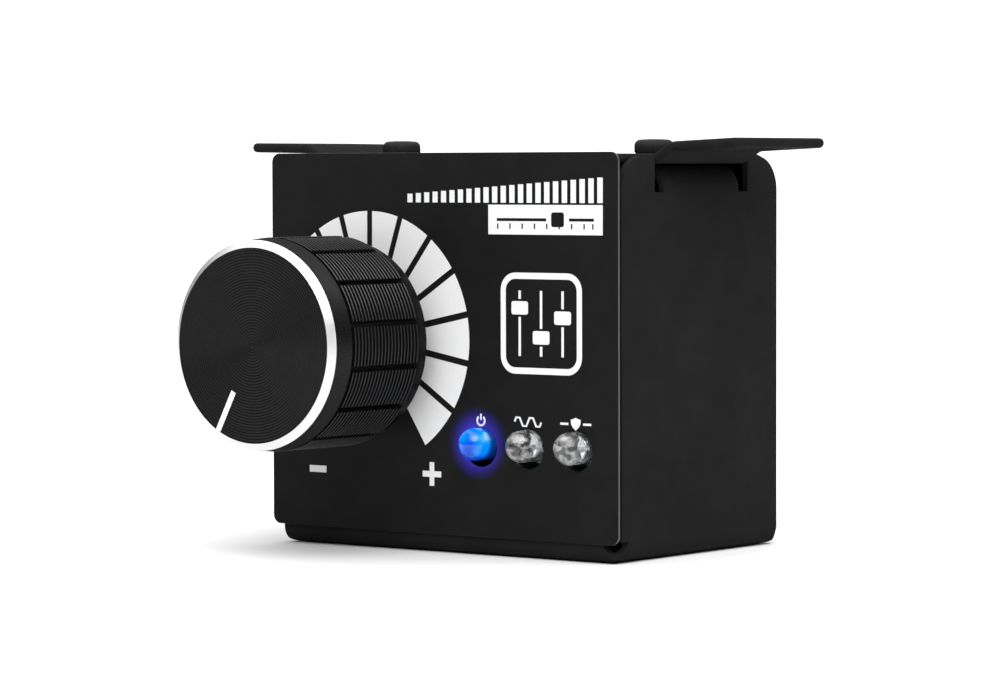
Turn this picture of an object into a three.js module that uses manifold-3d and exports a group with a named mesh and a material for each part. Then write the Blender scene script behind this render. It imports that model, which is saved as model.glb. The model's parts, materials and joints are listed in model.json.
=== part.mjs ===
// Remote level control: a folded steel box with a grooved knob, three indicator lamps,
// a printed front plate and two mounting ears on its cover.
// Millimetres. +Z is up, the front plate faces -Y, and the origin is the centre of the flat underside.

import * as THREE from 'three';
import { mergeVertices } from 'three/addons/utils/BufferGeometryUtils.js';
import Module from 'manifold-3d';

const wasm = await Module();
wasm.setup();

// ---------------------------------------------------------------- driving dimensions

const SHEET = 1.0; // steel sheet of the tray
const GAP = 0.1; // air left between two pieces that sit face to face
const EPS = 1.0; // how far a cutting tool overshoots the face it starts from

// Tray: underside at z = 0, four walls folded up
const TRAY_WIDTH = 65.4;
const TRAY_DEPTH = 43.8;
const TRAY_HEIGHT = 60.2;
const BEND = 2.5; // outer bend radius
const BEND_SEGMENTS = 2; // each makes two flats around a quarter bend
const FLAP_HALF_DEPTH = 20.5; // the side walls stop short of the front and rear walls
const FLAP_TOP_RADIUS = 5.2;
const FLAP_HEEL_RADIUS = 3.0;
const RELIEF = { x: 2.5, y: 3.2, z: 2.0, top: 3.2 }; // corner relief at the right front corner

// Tabs on the side walls, bent inwards to carry the cover
const TAB_CENTRE_Y = 0.25;
const TAB_HALF_WIDTH = 9.8;
const NOTCH_HALF_WIDTH = 12.3;
const NOTCH_FLOOR = 54.85;
const TAB_REACH = 20.5; // x of the tab's inner end
const TAB_BEND = 3.5; // bend radius on the middle of the sheet

// Cover with its two ears
const COVER_UNDERSIDE = 59.1;
const COVER_SHEET = 1.5; // the cover carries the box by its ears, so it is thicker than the tray
const COVER_HALF_WIDTH = 31.5;
const COVER_HALF_DEPTH = 21.7;
const LIP_REAR = 21.9; // the cover's rear edge rolls down into a lip
const LIP_RADIUS = 5.2; // outer bend radius, as the side walls' top corners
const LIP_BOTTOM = 51.0;
const EAR_HALF_WIDTH = 12.05;
const EAR_TIP = 47.2;
const EAR_CORNER = 1.0;
const EAR_TILT = { left: THREE.MathUtils.degToRad(1.0), right: THREE.MathUtils.degToRad(2.5) };
const JOGGLE = { start: 32.4, end: 35.4, rise: 1.8, bend: 1.3 };
const SLOT = { x: 41.5, width: 5.0, length: 12.0 };
const COVER_SCREW = { x: 24.7, y: -1.0, headRadius: 3.0, headHeight: 2.15, shank: 1.45, length: 6.6 };

// Front plate, glued to the front wall
const PLATE_WIDTH = 67.0;
const PLATE_BOTTOM = 2.85;
const PLATE_TOP = 60.85;
const PLATE_FRONT = -22.4;
const PLATE_THICKNESS = 0.4;
const PLATE_CORNER = 1.4;

// Knob and potentiometer share one axis along Y
const AXIS = { x: -13.75, z: 32.2 };
const KNOB = {
  rear: -27.2,
  gripRear: -29.8,
  gripFront: -45.1,
  bandRear: -45.7,
  chamferRear: -49.1,
  face: -49.9,
  rearRadius: 15.2,
  gripRadius: 16.05,
  bandRearRadius: 16.0,
  bandFrontRadius: 15.7,
  faceRadius: 14.6,
  bore: 12.5,
  cap: 3.0,
  slots: 15,
  slotWidth: 0.8,
  slotDepth: 0.85,
};
const POINTER = { inner: 7.9, outer: 14.3, width: 0.95, thickness: 0.4, angle: THREE.MathUtils.degToRad(28) };
const SHAFT = { radius: 3.0, tip: -41.0, rear: -15.2, flat: 1.5, flatStart: -31.0 };
const BUSHING = { radius: 3.5, bore: 3.08, front: -26.6 };
const POT = { radius: 8.2, front: -20.7, rear: -13.0, wall: 1.0, pinDrop: 4.2, pinPitch: 4.6 };

// Lamps
const LAMP_X = { on: 7.9, clip: 16.8, protect: 25.7 };
const LAMP_HOLE = { z: 16.45, radius: 3.0 };
const LAMP = { z: 16.95, radius: 2.45, flange: 2.9, tip: -26.45, base: -17.9, flangeThickness: 1.0 };
const LEAD = { offset: 1.27, size: 0.5 };

// Control board behind the front wall, and the jack board on the floor
const BOARD = { halfWidth: 29.0, bottom: 8.0, top: 50.0, front: -12.2, thickness: 1.6 };
const JACK_BOARD = { halfWidth: 15.0, front: 2.5, rear: 20.4, bottom: 6.1, thickness: 1.6 };
const STANDOFF = { x: 11.5, y: 11.5, radius: 2.6, bore: 1.15 };
const JACK = { halfWidth: 6.6, height: 12.0, front: 6.5, mouth: 22.2 };
const SOCKET = { halfWidth: 4.9, floor: 1.8, height: 6.8, depth: 11.7 };
const CONTACT_PITCH = 1.02;
const HEADER = { x: 22.0, halfWidth: 3.0 };

// ---------------------------------------------------------------- solids from three.js geometry

const X_AXIS = new THREE.Vector3(1, 0, 0);
const Y_AXIS = new THREE.Vector3(0, 1, 0);
const Z_AXIS = new THREE.Vector3(0, 0, 1);

// Six times the volume that the triangles enclose, negative when they face inwards.
function signedVolume(positions, corners) {
  const a = new THREE.Vector3();
  const b = new THREE.Vector3();
  const c = new THREE.Vector3();
  let total = 0;
  for (let i = 0; i < corners.length; i += 3) {
    a.fromArray(positions, corners[i] * 3);
    b.fromArray(positions, corners[i + 1] * 3);
    c.fromArray(positions, corners[i + 2] * 3);
    total += a.dot(b.cross(c));
  }
  return total;
}

// A closed three.js geometry as a solid that can be joined and cut.
function solid(geometry) {
  const bare = geometry.index ? geometry.toNonIndexed() : geometry.clone();
  bare.deleteAttribute('normal');
  bare.deleteAttribute('uv');
  const merged = mergeVertices(bare, 1e-4);
  const positions = merged.attributes.position.array;
  const all = merged.index.array;
  const corners = [];
  for (let i = 0; i < all.length; i += 3) {
    const triangle = [all[i], all[i + 1], all[i + 2]];
    if (new Set(triangle).size === 3) {
      corners.push(...triangle);
    }
  }
  if (signedVolume(positions, corners) < 0) {
    corners.reverse();
  }
  const mesh = new wasm.Mesh({
    numProp: 3,
    vertProperties: Float32Array.from(positions),
    triVerts: Uint32Array.from(corners),
  });
  return new wasm.Manifold(mesh);
}

function join(first, ...others) {
  return others.reduce((sum, other) => sum.add(other), first);
}

function cut(first, ...tools) {
  return tools.reduce((rest, tool) => rest.subtract(tool), first);
}

function geometryOf(body) {
  const mesh = body.getMesh();
  const geometry = new THREE.BufferGeometry();
  geometry.setAttribute('position', new THREE.BufferAttribute(Float32Array.from(mesh.vertProperties), 3));
  geometry.setIndex(Array.from(mesh.triVerts));
  geometry.computeVertexNormals();
  return geometry;
}

function block([x0, x1], [y0, y1], [z0, z1]) {
  const geometry = new THREE.BoxGeometry(x1 - x0, y1 - y0, z1 - z0);
  geometry.translate((x0 + x1) / 2, (y0 + y1) / 2, (z0 + z1) / 2);
  return solid(geometry);
}

// A flat outline pushed along an axis: x pushes (y, z), y pushes (x, z) and z pushes (x, y).
function prism(outline, axis, from, to, curveSegments = 6) {
  const settings = { depth: to - from, bevelEnabled: false, curveSegments };
  const geometry = new THREE.ExtrudeGeometry(outline, settings);
  if (axis === 'x') {
    geometry.applyMatrix4(new THREE.Matrix4().makeBasis(Y_AXIS, Z_AXIS, X_AXIS));
    geometry.translate(from, 0, 0);
  } else if (axis === 'y') {
    geometry.applyMatrix4(new THREE.Matrix4().makeBasis(X_AXIS, Z_AXIS, Y_AXIS.clone().negate()));
    geometry.translate(0, to, 0);
  } else {
    geometry.translate(0, 0, from);
  }
  return solid(geometry);
}

// A profile of [radius, place along the axis] pairs turned about an axis through (u, v).
function turned(profile, axis, [u, v], segments = 32) {
  const closed = profile[0][0] === 0 ? profile : [...profile, profile[0]];
  const points = closed.map(([radius, along]) => new THREE.Vector2(radius, along));
  const geometry = new THREE.LatheGeometry(points, segments);
  if (axis === 'z') {
    geometry.rotateX(Math.PI / 2);
    geometry.translate(u, v, 0);
  } else {
    geometry.translate(u, 0, v);
  }
  return solid(geometry);
}

function rod(radius, from, to, axis, place, segments = 32) {
  return turned([[0, from], [radius, from], [radius, to], [0, to]], axis, place, segments);
}

function tube(outer, inner, from, to, axis, place, segments = 32) {
  return turned([[inner, from], [outer, from], [outer, to], [inner, to]], axis, place, segments);
}

function roundedRectangle(u0, u1, v0, v1, radius) {
  const shape = new THREE.Shape();
  shape.moveTo(u0 + radius, v0);
  shape.lineTo(u1 - radius, v0);
  shape.absarc(u1 - radius, v0 + radius, radius, -Math.PI / 2, 0);
  shape.lineTo(u1, v1 - radius);
  shape.absarc(u1 - radius, v1 - radius, radius, 0, Math.PI / 2);
  shape.lineTo(u0 + radius, v1);
  shape.absarc(u0 + radius, v1 - radius, radius, Math.PI / 2, Math.PI);
  shape.lineTo(u0, v0 + radius);
  shape.absarc(u0 + radius, v0 + radius, radius, Math.PI, Math.PI * 1.5);
  return shape;
}

// A strip of even thickness along a path whose corners are rounded to a bend radius.
function bentStrip(path, bend, thickness, steps = 4) {
  const centre = [];
  path.forEach(([u, v], i) => {
    const here = new THREE.Vector2(u, v);
    if (i === 0 || i === path.length - 1) {
      centre.push(here);
      return;
    }
    const before = new THREE.Vector2(...path[i - 1]).sub(here).normalize();
    const after = new THREE.Vector2(...path[i + 1]).sub(here).normalize();
    const half = Math.acos(THREE.MathUtils.clamp(before.dot(after), -1, 1)) / 2;
    const reach = bend / Math.tan(half);
    const start = here.clone().addScaledVector(before, reach);
    const end = here.clone().addScaledVector(after, reach);
    const middle = before.clone().add(after).normalize();
    const hub = here.clone().addScaledVector(middle, bend / Math.sin(half));
    const from = start.clone().sub(hub).angle();
    let sweep = end.clone().sub(hub).angle() - from;
    sweep = Math.atan2(Math.sin(sweep), Math.cos(sweep));
    for (let k = 0; k <= steps; k += 1) {
      const angle = from + (sweep * k) / steps;
      centre.push(new THREE.Vector2(hub.x + bend * Math.cos(angle), hub.y + bend * Math.sin(angle)));
    }
  });
  return stripAlong(centre, thickness);
}

// The outline of a strip of even thickness whose middle follows the points.
function stripAlong(centre, thickness) {
  const left = [];
  const right = [];
  centre.forEach((point, i) => {
    const before = centre[Math.max(i - 1, 0)];
    const after = centre[Math.min(i + 1, centre.length - 1)];
    const along = after.clone().sub(before).normalize();
    const normal = new THREE.Vector2(-along.y, along.x).multiplyScalar(thickness / 2);
    left.push(point.clone().add(normal));
    right.push(point.clone().sub(normal));
  });
  return new THREE.Shape([...left, ...right.reverse()]);
}

function mirrored(body) {
  return body.mirror([1, 0, 0]);
}

// ---------------------------------------------------------------- tray

// A block with rounded bottom edges on all four sides, shrunk by an even wall.
function trayBlock(wall) {
  const halfWidth = TRAY_WIDTH / 2 - wall;
  const halfDepth = TRAY_DEPTH / 2 - wall;
  const radius = BEND - wall;
  const top = wall > 0 ? TRAY_HEIGHT + EPS : TRAY_HEIGHT;
  const section = (half) => {
    const shape = new THREE.Shape();
    shape.moveTo(-half, top);
    shape.lineTo(-half, wall + radius);
    shape.absarc(-half + radius, wall + radius, radius, Math.PI, Math.PI * 1.5);
    shape.lineTo(half - radius, wall);
    shape.absarc(half - radius, wall + radius, radius, -Math.PI / 2, 0);
    shape.lineTo(half, top);
    return shape;
  };
  const across = prism(section(halfWidth), 'y', -halfDepth, halfDepth, BEND_SEGMENTS);
  return across.intersect(prism(section(halfDepth), 'x', -halfWidth, halfWidth, BEND_SEGMENTS));
}

// Everything outside a side wall's own outline, on the +X side. A split wall ends short of the front wall
// all the way down, and the other one joins it below the corner relief.
function flapWaste(split) {
  const inner = TRAY_WIDTH / 2 - SHEET - 0.05;
  const far = TRAY_DEPTH / 2 + EPS;
  const flap = new THREE.Shape();
  const heel = FLAP_HALF_DEPTH - FLAP_HEEL_RADIUS;
  flap.moveTo(split ? -heel : -far, -EPS);
  flap.lineTo(heel, -EPS);
  flap.lineTo(heel, 0);
  flap.absarc(heel, FLAP_HEEL_RADIUS, FLAP_HEEL_RADIUS, -Math.PI / 2, 0);
  const shoulder = FLAP_HALF_DEPTH - FLAP_TOP_RADIUS;
  const shoulderZ = TRAY_HEIGHT - FLAP_TOP_RADIUS;
  flap.lineTo(FLAP_HALF_DEPTH, shoulderZ);
  flap.absarc(shoulder, shoulderZ, FLAP_TOP_RADIUS, 0, Math.PI / 2);
  flap.lineTo(-shoulder, TRAY_HEIGHT);
  flap.absarc(-shoulder, shoulderZ, FLAP_TOP_RADIUS, Math.PI / 2, Math.PI);
  if (split) {
    flap.lineTo(-FLAP_HALF_DEPTH, FLAP_HEEL_RADIUS);
    flap.absarc(-heel, FLAP_HEEL_RADIUS, FLAP_HEEL_RADIUS, Math.PI, Math.PI * 1.5);
  } else {
    flap.lineTo(-FLAP_HALF_DEPTH, RELIEF.top);
    flap.lineTo(-far, RELIEF.top);
  }
  const outer = TRAY_WIDTH / 2 + EPS;
  const zone = block([inner, outer], [-far, far], [-EPS, TRAY_HEIGHT + EPS]);
  const notch = block(
    [inner, outer],
    [TAB_CENTRE_Y - NOTCH_HALF_WIDTH, TAB_CENTRE_Y + NOTCH_HALF_WIDTH],
    [NOTCH_FLOOR, TRAY_HEIGHT + EPS],
  );
  return join(cut(zone, prism(flap, 'x', inner - EPS, outer + EPS)), notch);
}

// The hole left where two bend lines meet, half an egg with its flat side up.
function cornerRelief() {
  const geometry = new THREE.SphereGeometry(1, 20, 12);
  geometry.scale(RELIEF.x, RELIEF.y, RELIEF.z);
  geometry.translate(TRAY_WIDTH / 2, -TRAY_DEPTH / 2, RELIEF.top);
  const above = block(
    [TRAY_WIDTH / 2 - RELIEF.x - EPS, TRAY_WIDTH / 2 + RELIEF.x + EPS],
    [-TRAY_DEPTH / 2 - RELIEF.y - EPS, -TRAY_DEPTH / 2 + RELIEF.y + EPS],
    [RELIEF.top, RELIEF.top + RELIEF.z + EPS],
  );
  return cut(solid(geometry), above);
}

function coverTab() {
  const middle = TRAY_WIDTH / 2 - SHEET / 2;
  const level = COVER_UNDERSIDE - GAP - SHEET / 2;
  const path = [[middle, NOTCH_FLOOR - EPS], [middle, level], [TAB_REACH, level]];
  const strip = bentStrip(path, TAB_BEND, SHEET, 5);
  const tab = prism(strip, 'y', TAB_CENTRE_Y - TAB_HALF_WIDTH, TAB_CENTRE_Y + TAB_HALF_WIDTH);
  const hole = rod(COVER_SCREW.shank + GAP, level - 2, level + 2, 'z', [COVER_SCREW.x, COVER_SCREW.y], 20);
  return cut(tab, hole);
}

function trayBody() {
  const shell = cut(trayBlock(0), trayBlock(SHEET));
  const wallTop = COVER_UNDERSIDE - GAP;
  const half = TRAY_DEPTH / 2;
  const innerHalf = half - SHEET;
  const span = TRAY_WIDTH / 2 - SHEET;
  const front = [-half - EPS, -innerHalf + EPS];
  const rear = [innerHalf - EPS, half + EPS];
  const aboveFront = block([-span, span], front, [wallTop, TRAY_HEIGHT + EPS]);
  const aboveRear = block([-span, span], rear, [LIP_BOTTOM - GAP, TRAY_HEIGHT + EPS]);
  const bushingHole = rod(BUSHING.radius + GAP, -half - EPS, -innerHalf + EPS, 'y', [AXIS.x, AXIS.z]);
  const lampHoles = Object.values(LAMP_X).map((x) =>
    rod(LAMP_HOLE.radius + GAP, -half - EPS, -innerHalf + EPS, 'y', [x, LAMP_HOLE.z], 24));
  const jackFloor = JACK_BOARD.bottom + JACK_BOARD.thickness;
  const jackHole = block(
    [-JACK.halfWidth - 0.2, JACK.halfWidth + 0.2],
    rear,
    [jackFloor - 0.1, jackFloor + JACK.height + 0.3],
  );
  const bare = cut(
    shell, aboveFront, aboveRear, bushingHole, ...lampHoles, jackHole,
    flapWaste(false), mirrored(flapWaste(true)), cornerRelief(),
  );
  return join(bare, coverTab(), mirrored(coverTab()));
}

// ---------------------------------------------------------------- cover

// One ear, on the +X side, that rises to its tip at a small angle.
function ear(tilt) {
  const level = COVER_UNDERSIDE + COVER_SHEET / 2;
  const raised = level + JOGGLE.rise;
  const tipRise = (EAR_TIP - JOGGLE.end) * Math.tan(tilt);
  const root = [COVER_HALF_WIDTH - 4, level];
  const tip = [EAR_TIP, raised + tipRise];
  const path = [root, [JOGGLE.start, level], [JOGGLE.end, raised], tip];
  const y0 = TAB_CENTRE_Y - EAR_HALF_WIDTH;
  const y1 = TAB_CENTRE_Y + EAR_HALF_WIDTH;
  const strip = prism(bentStrip(path, JOGGLE.bend, COVER_SHEET, 4), 'y', y0, y1);
  const plan = roundedRectangle(COVER_HALF_WIDTH - 8, EAR_TIP, y0, y1, EAR_CORNER);
  const slot = roundedRectangle(
    SLOT.x - SLOT.width / 2, SLOT.x + SLOT.width / 2,
    TAB_CENTRE_Y - SLOT.length / 2, TAB_CENTRE_Y + SLOT.length / 2, SLOT.width / 2 - 0.01,
  );
  const rounded = strip.intersect(prism(plan, 'z', level - 5, raised + 5, 5));
  return cut(rounded, prism(slot, 'z', level - 5, raised + 5, 8));
}

// The cover's sheet seen from the side, flat to the front and rolled down at the rear.
function coverSheet() {
  const level = COVER_UNDERSIDE + COVER_SHEET / 2;
  const down = LIP_REAR - COVER_SHEET / 2;
  const path = [[-COVER_HALF_DEPTH, level], [down, level], [down, LIP_BOTTOM]];
  const strip = bentStrip(path, LIP_RADIUS - COVER_SHEET / 2, COVER_SHEET, 6);
  return prism(strip, 'x', -COVER_HALF_WIDTH, COVER_HALF_WIDTH);
}

function coverBody() {
  const holes = [-1, 1].map((side) => rod(
    COVER_SCREW.shank + 0.25, COVER_UNDERSIDE - EPS, COVER_UNDERSIDE + COVER_SHEET + EPS,
    'z', [side * COVER_SCREW.x, COVER_SCREW.y], 20,
  ));
  return cut(join(coverSheet(), ear(EAR_TILT.right), mirrored(ear(EAR_TILT.left))), ...holes);
}

// A pan-head screw that points down, its head resting at the given height.
function panScrew(x, y, seat, { headRadius, headHeight, shank, length }) {
  const crown = seat + headHeight;
  const profile = [
    [0, crown],
    [headRadius * 0.55, crown],
    [headRadius * 0.84, crown - headHeight * 0.14],
    [headRadius * 0.97, crown - headHeight * 0.38],
    [headRadius, crown - headHeight * 0.62],
    [headRadius, seat],
    [shank, seat],
    [shank, seat - length],
    [0, seat - length],
  ];
  const arm = headRadius * 0.56;
  const web = headRadius * 0.13;
  const deep = crown - headHeight * 0.55;
  const recess = join(
    block([x - arm, x + arm], [y - web, y + web], [deep, crown + EPS]),
    block([x - web, x + web], [y - arm, y + arm], [deep, crown + EPS]),
  );
  return cut(turned(profile, 'z', [x, y], 24), recess);
}

// ---------------------------------------------------------------- front plate

function plateBody() {
  const half = PLATE_WIDTH / 2;
  const rear = PLATE_FRONT + PLATE_THICKNESS;
  const outline = roundedRectangle(-half, half, PLATE_BOTTOM, PLATE_TOP, PLATE_CORNER);
  const sheet = prism(outline, 'y', PLATE_FRONT, rear, 5);
  const bushingHole = rod(BUSHING.radius + 0.2, PLATE_FRONT - EPS, rear + EPS, 'y', [AXIS.x, AXIS.z]);
  const lampHoles = Object.values(LAMP_X).map((x) =>
    rod(LAMP_HOLE.radius, PLATE_FRONT - EPS, rear + EPS, 'y', [x, LAMP_HOLE.z], 24));
  return cut(sheet, bushingHole, ...lampHoles);
}

// ---------------------------------------------------------------- knob

const KNOB_AXIS = [AXIS.x, AXIS.z];

// A bar that lies along a radius of the knob, at an angle clockwise from straight down.
function radialBar(inner, outer, width, from, to, angle) {
  const geometry = new THREE.BoxGeometry(width, to - from, outer - inner);
  geometry.translate(0, (from + to) / 2, -(inner + outer) / 2);
  geometry.rotateY(angle);
  geometry.translate(AXIS.x, 0, AXIS.z);
  return solid(geometry);
}

function knobShell() {
  const body = turned([
    [0, KNOB.face + KNOB.cap],
    [KNOB.bore, KNOB.face + KNOB.cap],
    [KNOB.bore, KNOB.rear],
    [KNOB.rearRadius, KNOB.rear],
    [KNOB.rearRadius, KNOB.gripRear],
    [KNOB.gripRadius, KNOB.gripRear],
    [KNOB.gripRadius, KNOB.gripFront],
    [KNOB.rearRadius, KNOB.gripFront],
    [KNOB.rearRadius, KNOB.bandRear],
    [KNOB.bandRearRadius, KNOB.bandRear],
    [KNOB.bandFrontRadius, KNOB.chamferRear],
    [KNOB.faceRadius, KNOB.face],
    [0, KNOB.face],
  ], 'y', KNOB_AXIS, 60);
  const slots = Array.from({ length: KNOB.slots }, (_, k) => radialBar(
    KNOB.gripRadius - KNOB.slotDepth, KNOB.gripRadius + EPS, KNOB.slotWidth,
    KNOB.gripFront, KNOB.gripRear, ((k + 0.75) / KNOB.slots) * Math.PI * 2,
  ));
  const seat = radialBar(
    POINTER.inner - GAP, KNOB.faceRadius + EPS, POINTER.width + 2 * GAP,
    KNOB.face - EPS, KNOB.face + POINTER.thickness + GAP, POINTER.angle,
  );
  return cut(body, ...slots, seat);
}

function knobPointer() {
  return radialBar(
    POINTER.inner, POINTER.outer, POINTER.width,
    KNOB.face, KNOB.face + POINTER.thickness, POINTER.angle,
  );
}

function knobHub() {
  const back = KNOB.rear - 0.8;
  const front = KNOB.face + KNOB.cap + GAP;
  const blind = SHAFT.tip - 0.5;
  const boss = 5.5;
  const rim = 11.0;
  const web = front + 3.2;
  const outer = KNOB.bore - GAP;
  const body = turned([
    [0, front], [outer, front], [outer, back], [rim, back],
    [rim, web], [boss, web], [boss, back], [0, back],
  ], 'y', KNOB_AXIS, 40);
  const bore = rod(SHAFT.radius + GAP, blind, back + EPS, 'y', KNOB_AXIS);
  const key = block(
    [AXIS.x - 5, AXIS.x + 5], [blind - EPS, SHAFT.flatStart], [AXIS.z + SHAFT.flat + GAP, AXIS.z + 5],
  );
  return cut(body, cut(bore, key));
}

// ---------------------------------------------------------------- potentiometer

function potShaft() {
  const collar = 3.9;
  const body = turned([
    [0, SHAFT.tip], [SHAFT.radius - 0.4, SHAFT.tip], [SHAFT.radius, SHAFT.tip + 0.4], [SHAFT.radius, -19.5],
    [collar, -19.5], [collar, -18.4], [SHAFT.radius, -18.4], [SHAFT.radius, SHAFT.rear], [0, SHAFT.rear],
  ], 'y', KNOB_AXIS, 32);
  const flat = block(
    [AXIS.x - 5, AXIS.x + 5], [SHAFT.tip - EPS, SHAFT.flatStart], [AXIS.z + SHAFT.flat, AXIS.z + 5],
  );
  return cut(body, flat);
}

function potHousing() {
  const inner = POT.radius - POT.wall;
  const cup = tube(POT.radius, inner, POT.front, POT.rear, 'y', KNOB_AXIS, 40);
  const face = tube(inner + 0.5, BUSHING.bore, POT.front, POT.front + POT.wall, 'y', KNOB_AXIS, 40);
  return join(cup, face);
}

function potWiper() {
  const plate = tube(6.2, SHAFT.radius + GAP, -17.6, -16.4, 'y', KNOB_AXIS, 32);
  const arm = block([AXIS.x - 0.9, AXIS.x + 0.9], [-16.6, -15.1], [AXIS.z + 4.2, AXIS.z + 5.8]);
  return join(plate, arm);
}

function potWafer() {
  return rod(POT.radius - POT.wall - GAP, -14.6, -13.2, 'y', KNOB_AXIS, 40);
}

function potPin(step) {
  const x = AXIS.x + step * POT.pinPitch;
  const z = AXIS.z - POT.pinDrop;
  return block([x - 0.4, x + 0.4], [-13.1, BOARD.front + BOARD.thickness + 1.0], [z - 0.15, z + 0.15]);
}

function bushing() {
  return tube(BUSHING.radius, BUSHING.bore, BUSHING.front, POT.front - 0.05, 'y', KNOB_AXIS, 32);
}

function potWasher() {
  const back = PLATE_FRONT - GAP;
  return tube(5.6, BUSHING.radius + GAP, back - 0.5, back, 'y', KNOB_AXIS, 32);
}

function potNut() {
  const back = PLATE_FRONT - GAP - 0.5 - GAP;
  const across = 10.0;
  const hexagon = new THREE.Shape();
  for (let k = 0; k < 6; k += 1) {
    const angle = (k * Math.PI) / 3;
    const corner = across / 2 / Math.cos(Math.PI / 6);
    const u = AXIS.x + corner * Math.cos(angle);
    const v = AXIS.z + corner * Math.sin(angle);
    if (k === 0) {
      hexagon.moveTo(u, v);
    } else {
      hexagon.lineTo(u, v);
    }
  }
  const blank = prism(hexagon, 'y', back - 2.0, back);
  return cut(blank, rod(BUSHING.radius + GAP, back - 2.0 - EPS, back + EPS, 'y', KNOB_AXIS, 32));
}

// ---------------------------------------------------------------- lamps

// A 5 mm lamp: flange, barrel and dome, hollow where its two lead frames stand.
function lampLens(x) {
  const neck = LAMP.base - LAMP.flangeThickness;
  const domeCentre = LAMP.tip + LAMP.radius;
  const profile = [[0, LAMP.base], [LAMP.flange, LAMP.base], [LAMP.flange, neck], [LAMP.radius, neck]];
  const steps = 7;
  for (let k = 0; k <= steps; k += 1) {
    const angle = (k / steps) * (Math.PI / 2);
    const radius = k === steps ? 0 : LAMP.radius * Math.cos(angle);
    profile.push([radius, domeCentre - LAMP.radius * Math.sin(angle)]);
  }
  const body = turned(profile, 'y', [x, LAMP.z], 28);
  const cavity = block(
    [x - 1.95, x + 1.95],
    [LAMP.base - 4.7, LAMP.base + EPS],
    [LAMP.z - 0.45, LAMP.z + 0.45],
  );
  return cut(body, cavity);
}

// One lead frame. The cathode carries the wide cup, the anode the narrow post.
function lampLead(x, kind) {
  const side = kind === 'cathode' ? -1 : 1;
  const inner = kind === 'cathode' ? 0.25 : -0.65;
  const half = LEAD.size / 2;
  const leg = block(
    [x + side * LEAD.offset - half, x + side * LEAD.offset + half],
    [LAMP.base - 1.0, BOARD.front + BOARD.thickness + 1.2],
    [LAMP.z - half, LAMP.z + half],
  );
  const plateX = [x + side * 1.7, x - side * inner].sort((a, b) => a - b);
  const tall = kind === 'cathode' ? 4.3 : 3.8;
  const plate = block(plateX, [LAMP.base - tall, LAMP.base - 0.9], [LAMP.z - half, LAMP.z + half]);
  return join(leg, plate);
}

function lampSpacer(x) {
  const body = rod(2.4, LAMP.base + GAP, BOARD.front - GAP, 'y', [x, LAMP.z], 24);
  const channels = [-1, 1].map((side) =>
    rod(LEAD.size / 2 + 0.25, LAMP.base - EPS, BOARD.front + EPS, 'y', [x + side * LEAD.offset, LAMP.z], 12));
  return cut(body, ...channels);
}

// ---------------------------------------------------------------- boards, jack and ribbon

function controlBoard() {
  const rear = BOARD.front + BOARD.thickness;
  const sheet = block([-BOARD.halfWidth, BOARD.halfWidth], [BOARD.front, rear], [BOARD.bottom, BOARD.top]);
  const leadHoles = Object.values(LAMP_X).flatMap((x) => [-1, 1].map((side) =>
    rod(0.45, BOARD.front - EPS, rear + EPS, 'y', [x + side * LEAD.offset, LAMP.z], 8)));
  const pinHoles = [-1, 0, 1].map((step) => rod(
    0.6, BOARD.front - EPS, rear + EPS, 'y', [AXIS.x + step * POT.pinPitch, AXIS.z - POT.pinDrop], 8,
  ));
  return cut(sheet, ...leadHoles, ...pinHoles);
}

// A small chip resistor soldered to the rear of the control board.
function chipResistor(x) {
  const back = BOARD.front + BOARD.thickness + GAP;
  return block([x - 1.6, x + 1.6], [back, back + 0.6], [22.0, 23.6]);
}

function jackBoard() {
  const top = JACK_BOARD.bottom + JACK_BOARD.thickness;
  const sheet = block(
    [-JACK_BOARD.halfWidth, HEADER.x + HEADER.halfWidth + 1],
    [JACK_BOARD.front, JACK_BOARD.rear], [JACK_BOARD.bottom, top],
  );
  const holes = [-1, 1].map((side) =>
    rod(1.5, JACK_BOARD.bottom - EPS, top + EPS, 'z', [side * STANDOFF.x, STANDOFF.y], 16));
  const contactSlot = block([-2.2, 2.2], [5.2, 6.2], [JACK_BOARD.bottom - EPS, top + EPS]);
  return cut(sheet, ...holes, contactSlot);
}

function standoff(side) {
  const place = [side * STANDOFF.x, STANDOFF.y];
  return tube(STANDOFF.radius, STANDOFF.bore, SHEET + GAP, JACK_BOARD.bottom - GAP, 'z', place, 20);
}

function boardScrew(side) {
  const seat = JACK_BOARD.bottom + JACK_BOARD.thickness + GAP;
  const screw = { headRadius: 2.2, headHeight: 1.6, shank: 1.0, length: 5.2 };
  return panScrew(side * STANDOFF.x, STANDOFF.y, seat, screw);
}

function jackHousing() {
  const bottom = JACK_BOARD.bottom + JACK_BOARD.thickness + GAP;
  const floor = bottom + SOCKET.floor;
  const ceiling = floor + SOCKET.height;
  const back = JACK.mouth - SOCKET.depth;
  const shell = block(
    [-JACK.halfWidth, JACK.halfWidth],
    [JACK.front, JACK.mouth],
    [bottom, bottom + JACK.height],
  );
  const socket = block([-SOCKET.halfWidth, SOCKET.halfWidth], [back, JACK.mouth + EPS], [floor, ceiling]);
  const latch = block([-3.1, 3.1], [back + 1.5, JACK.mouth + EPS], [floor - 1.2, floor + EPS]);
  const springs = block([-2.3, 2.3], [JACK.front - EPS, JACK.mouth - 1.4], [ceiling - EPS, ceiling + 1.6]);
  return cut(shell, socket, latch, springs);
}

// A spring wire: through the board, up behind the housing, and down into the socket.
function jackContact(index) {
  const bottom = JACK_BOARD.bottom + JACK_BOARD.thickness + GAP;
  const ceiling = bottom + SOCKET.floor + SOCKET.height;
  const x = (index - 1.5) * CONTACT_PITCH;
  const tail = [5.7, JACK_BOARD.bottom - 0.8];
  const path = [tail, [5.7, ceiling + 0.9], [JACK.mouth - 2.6, ceiling + 0.9], [13.2, ceiling - 1.1]];
  return prism(bentStrip(path, 0.3, 0.4, 3), 'x', x - 0.2, x + 0.2);
}

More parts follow.
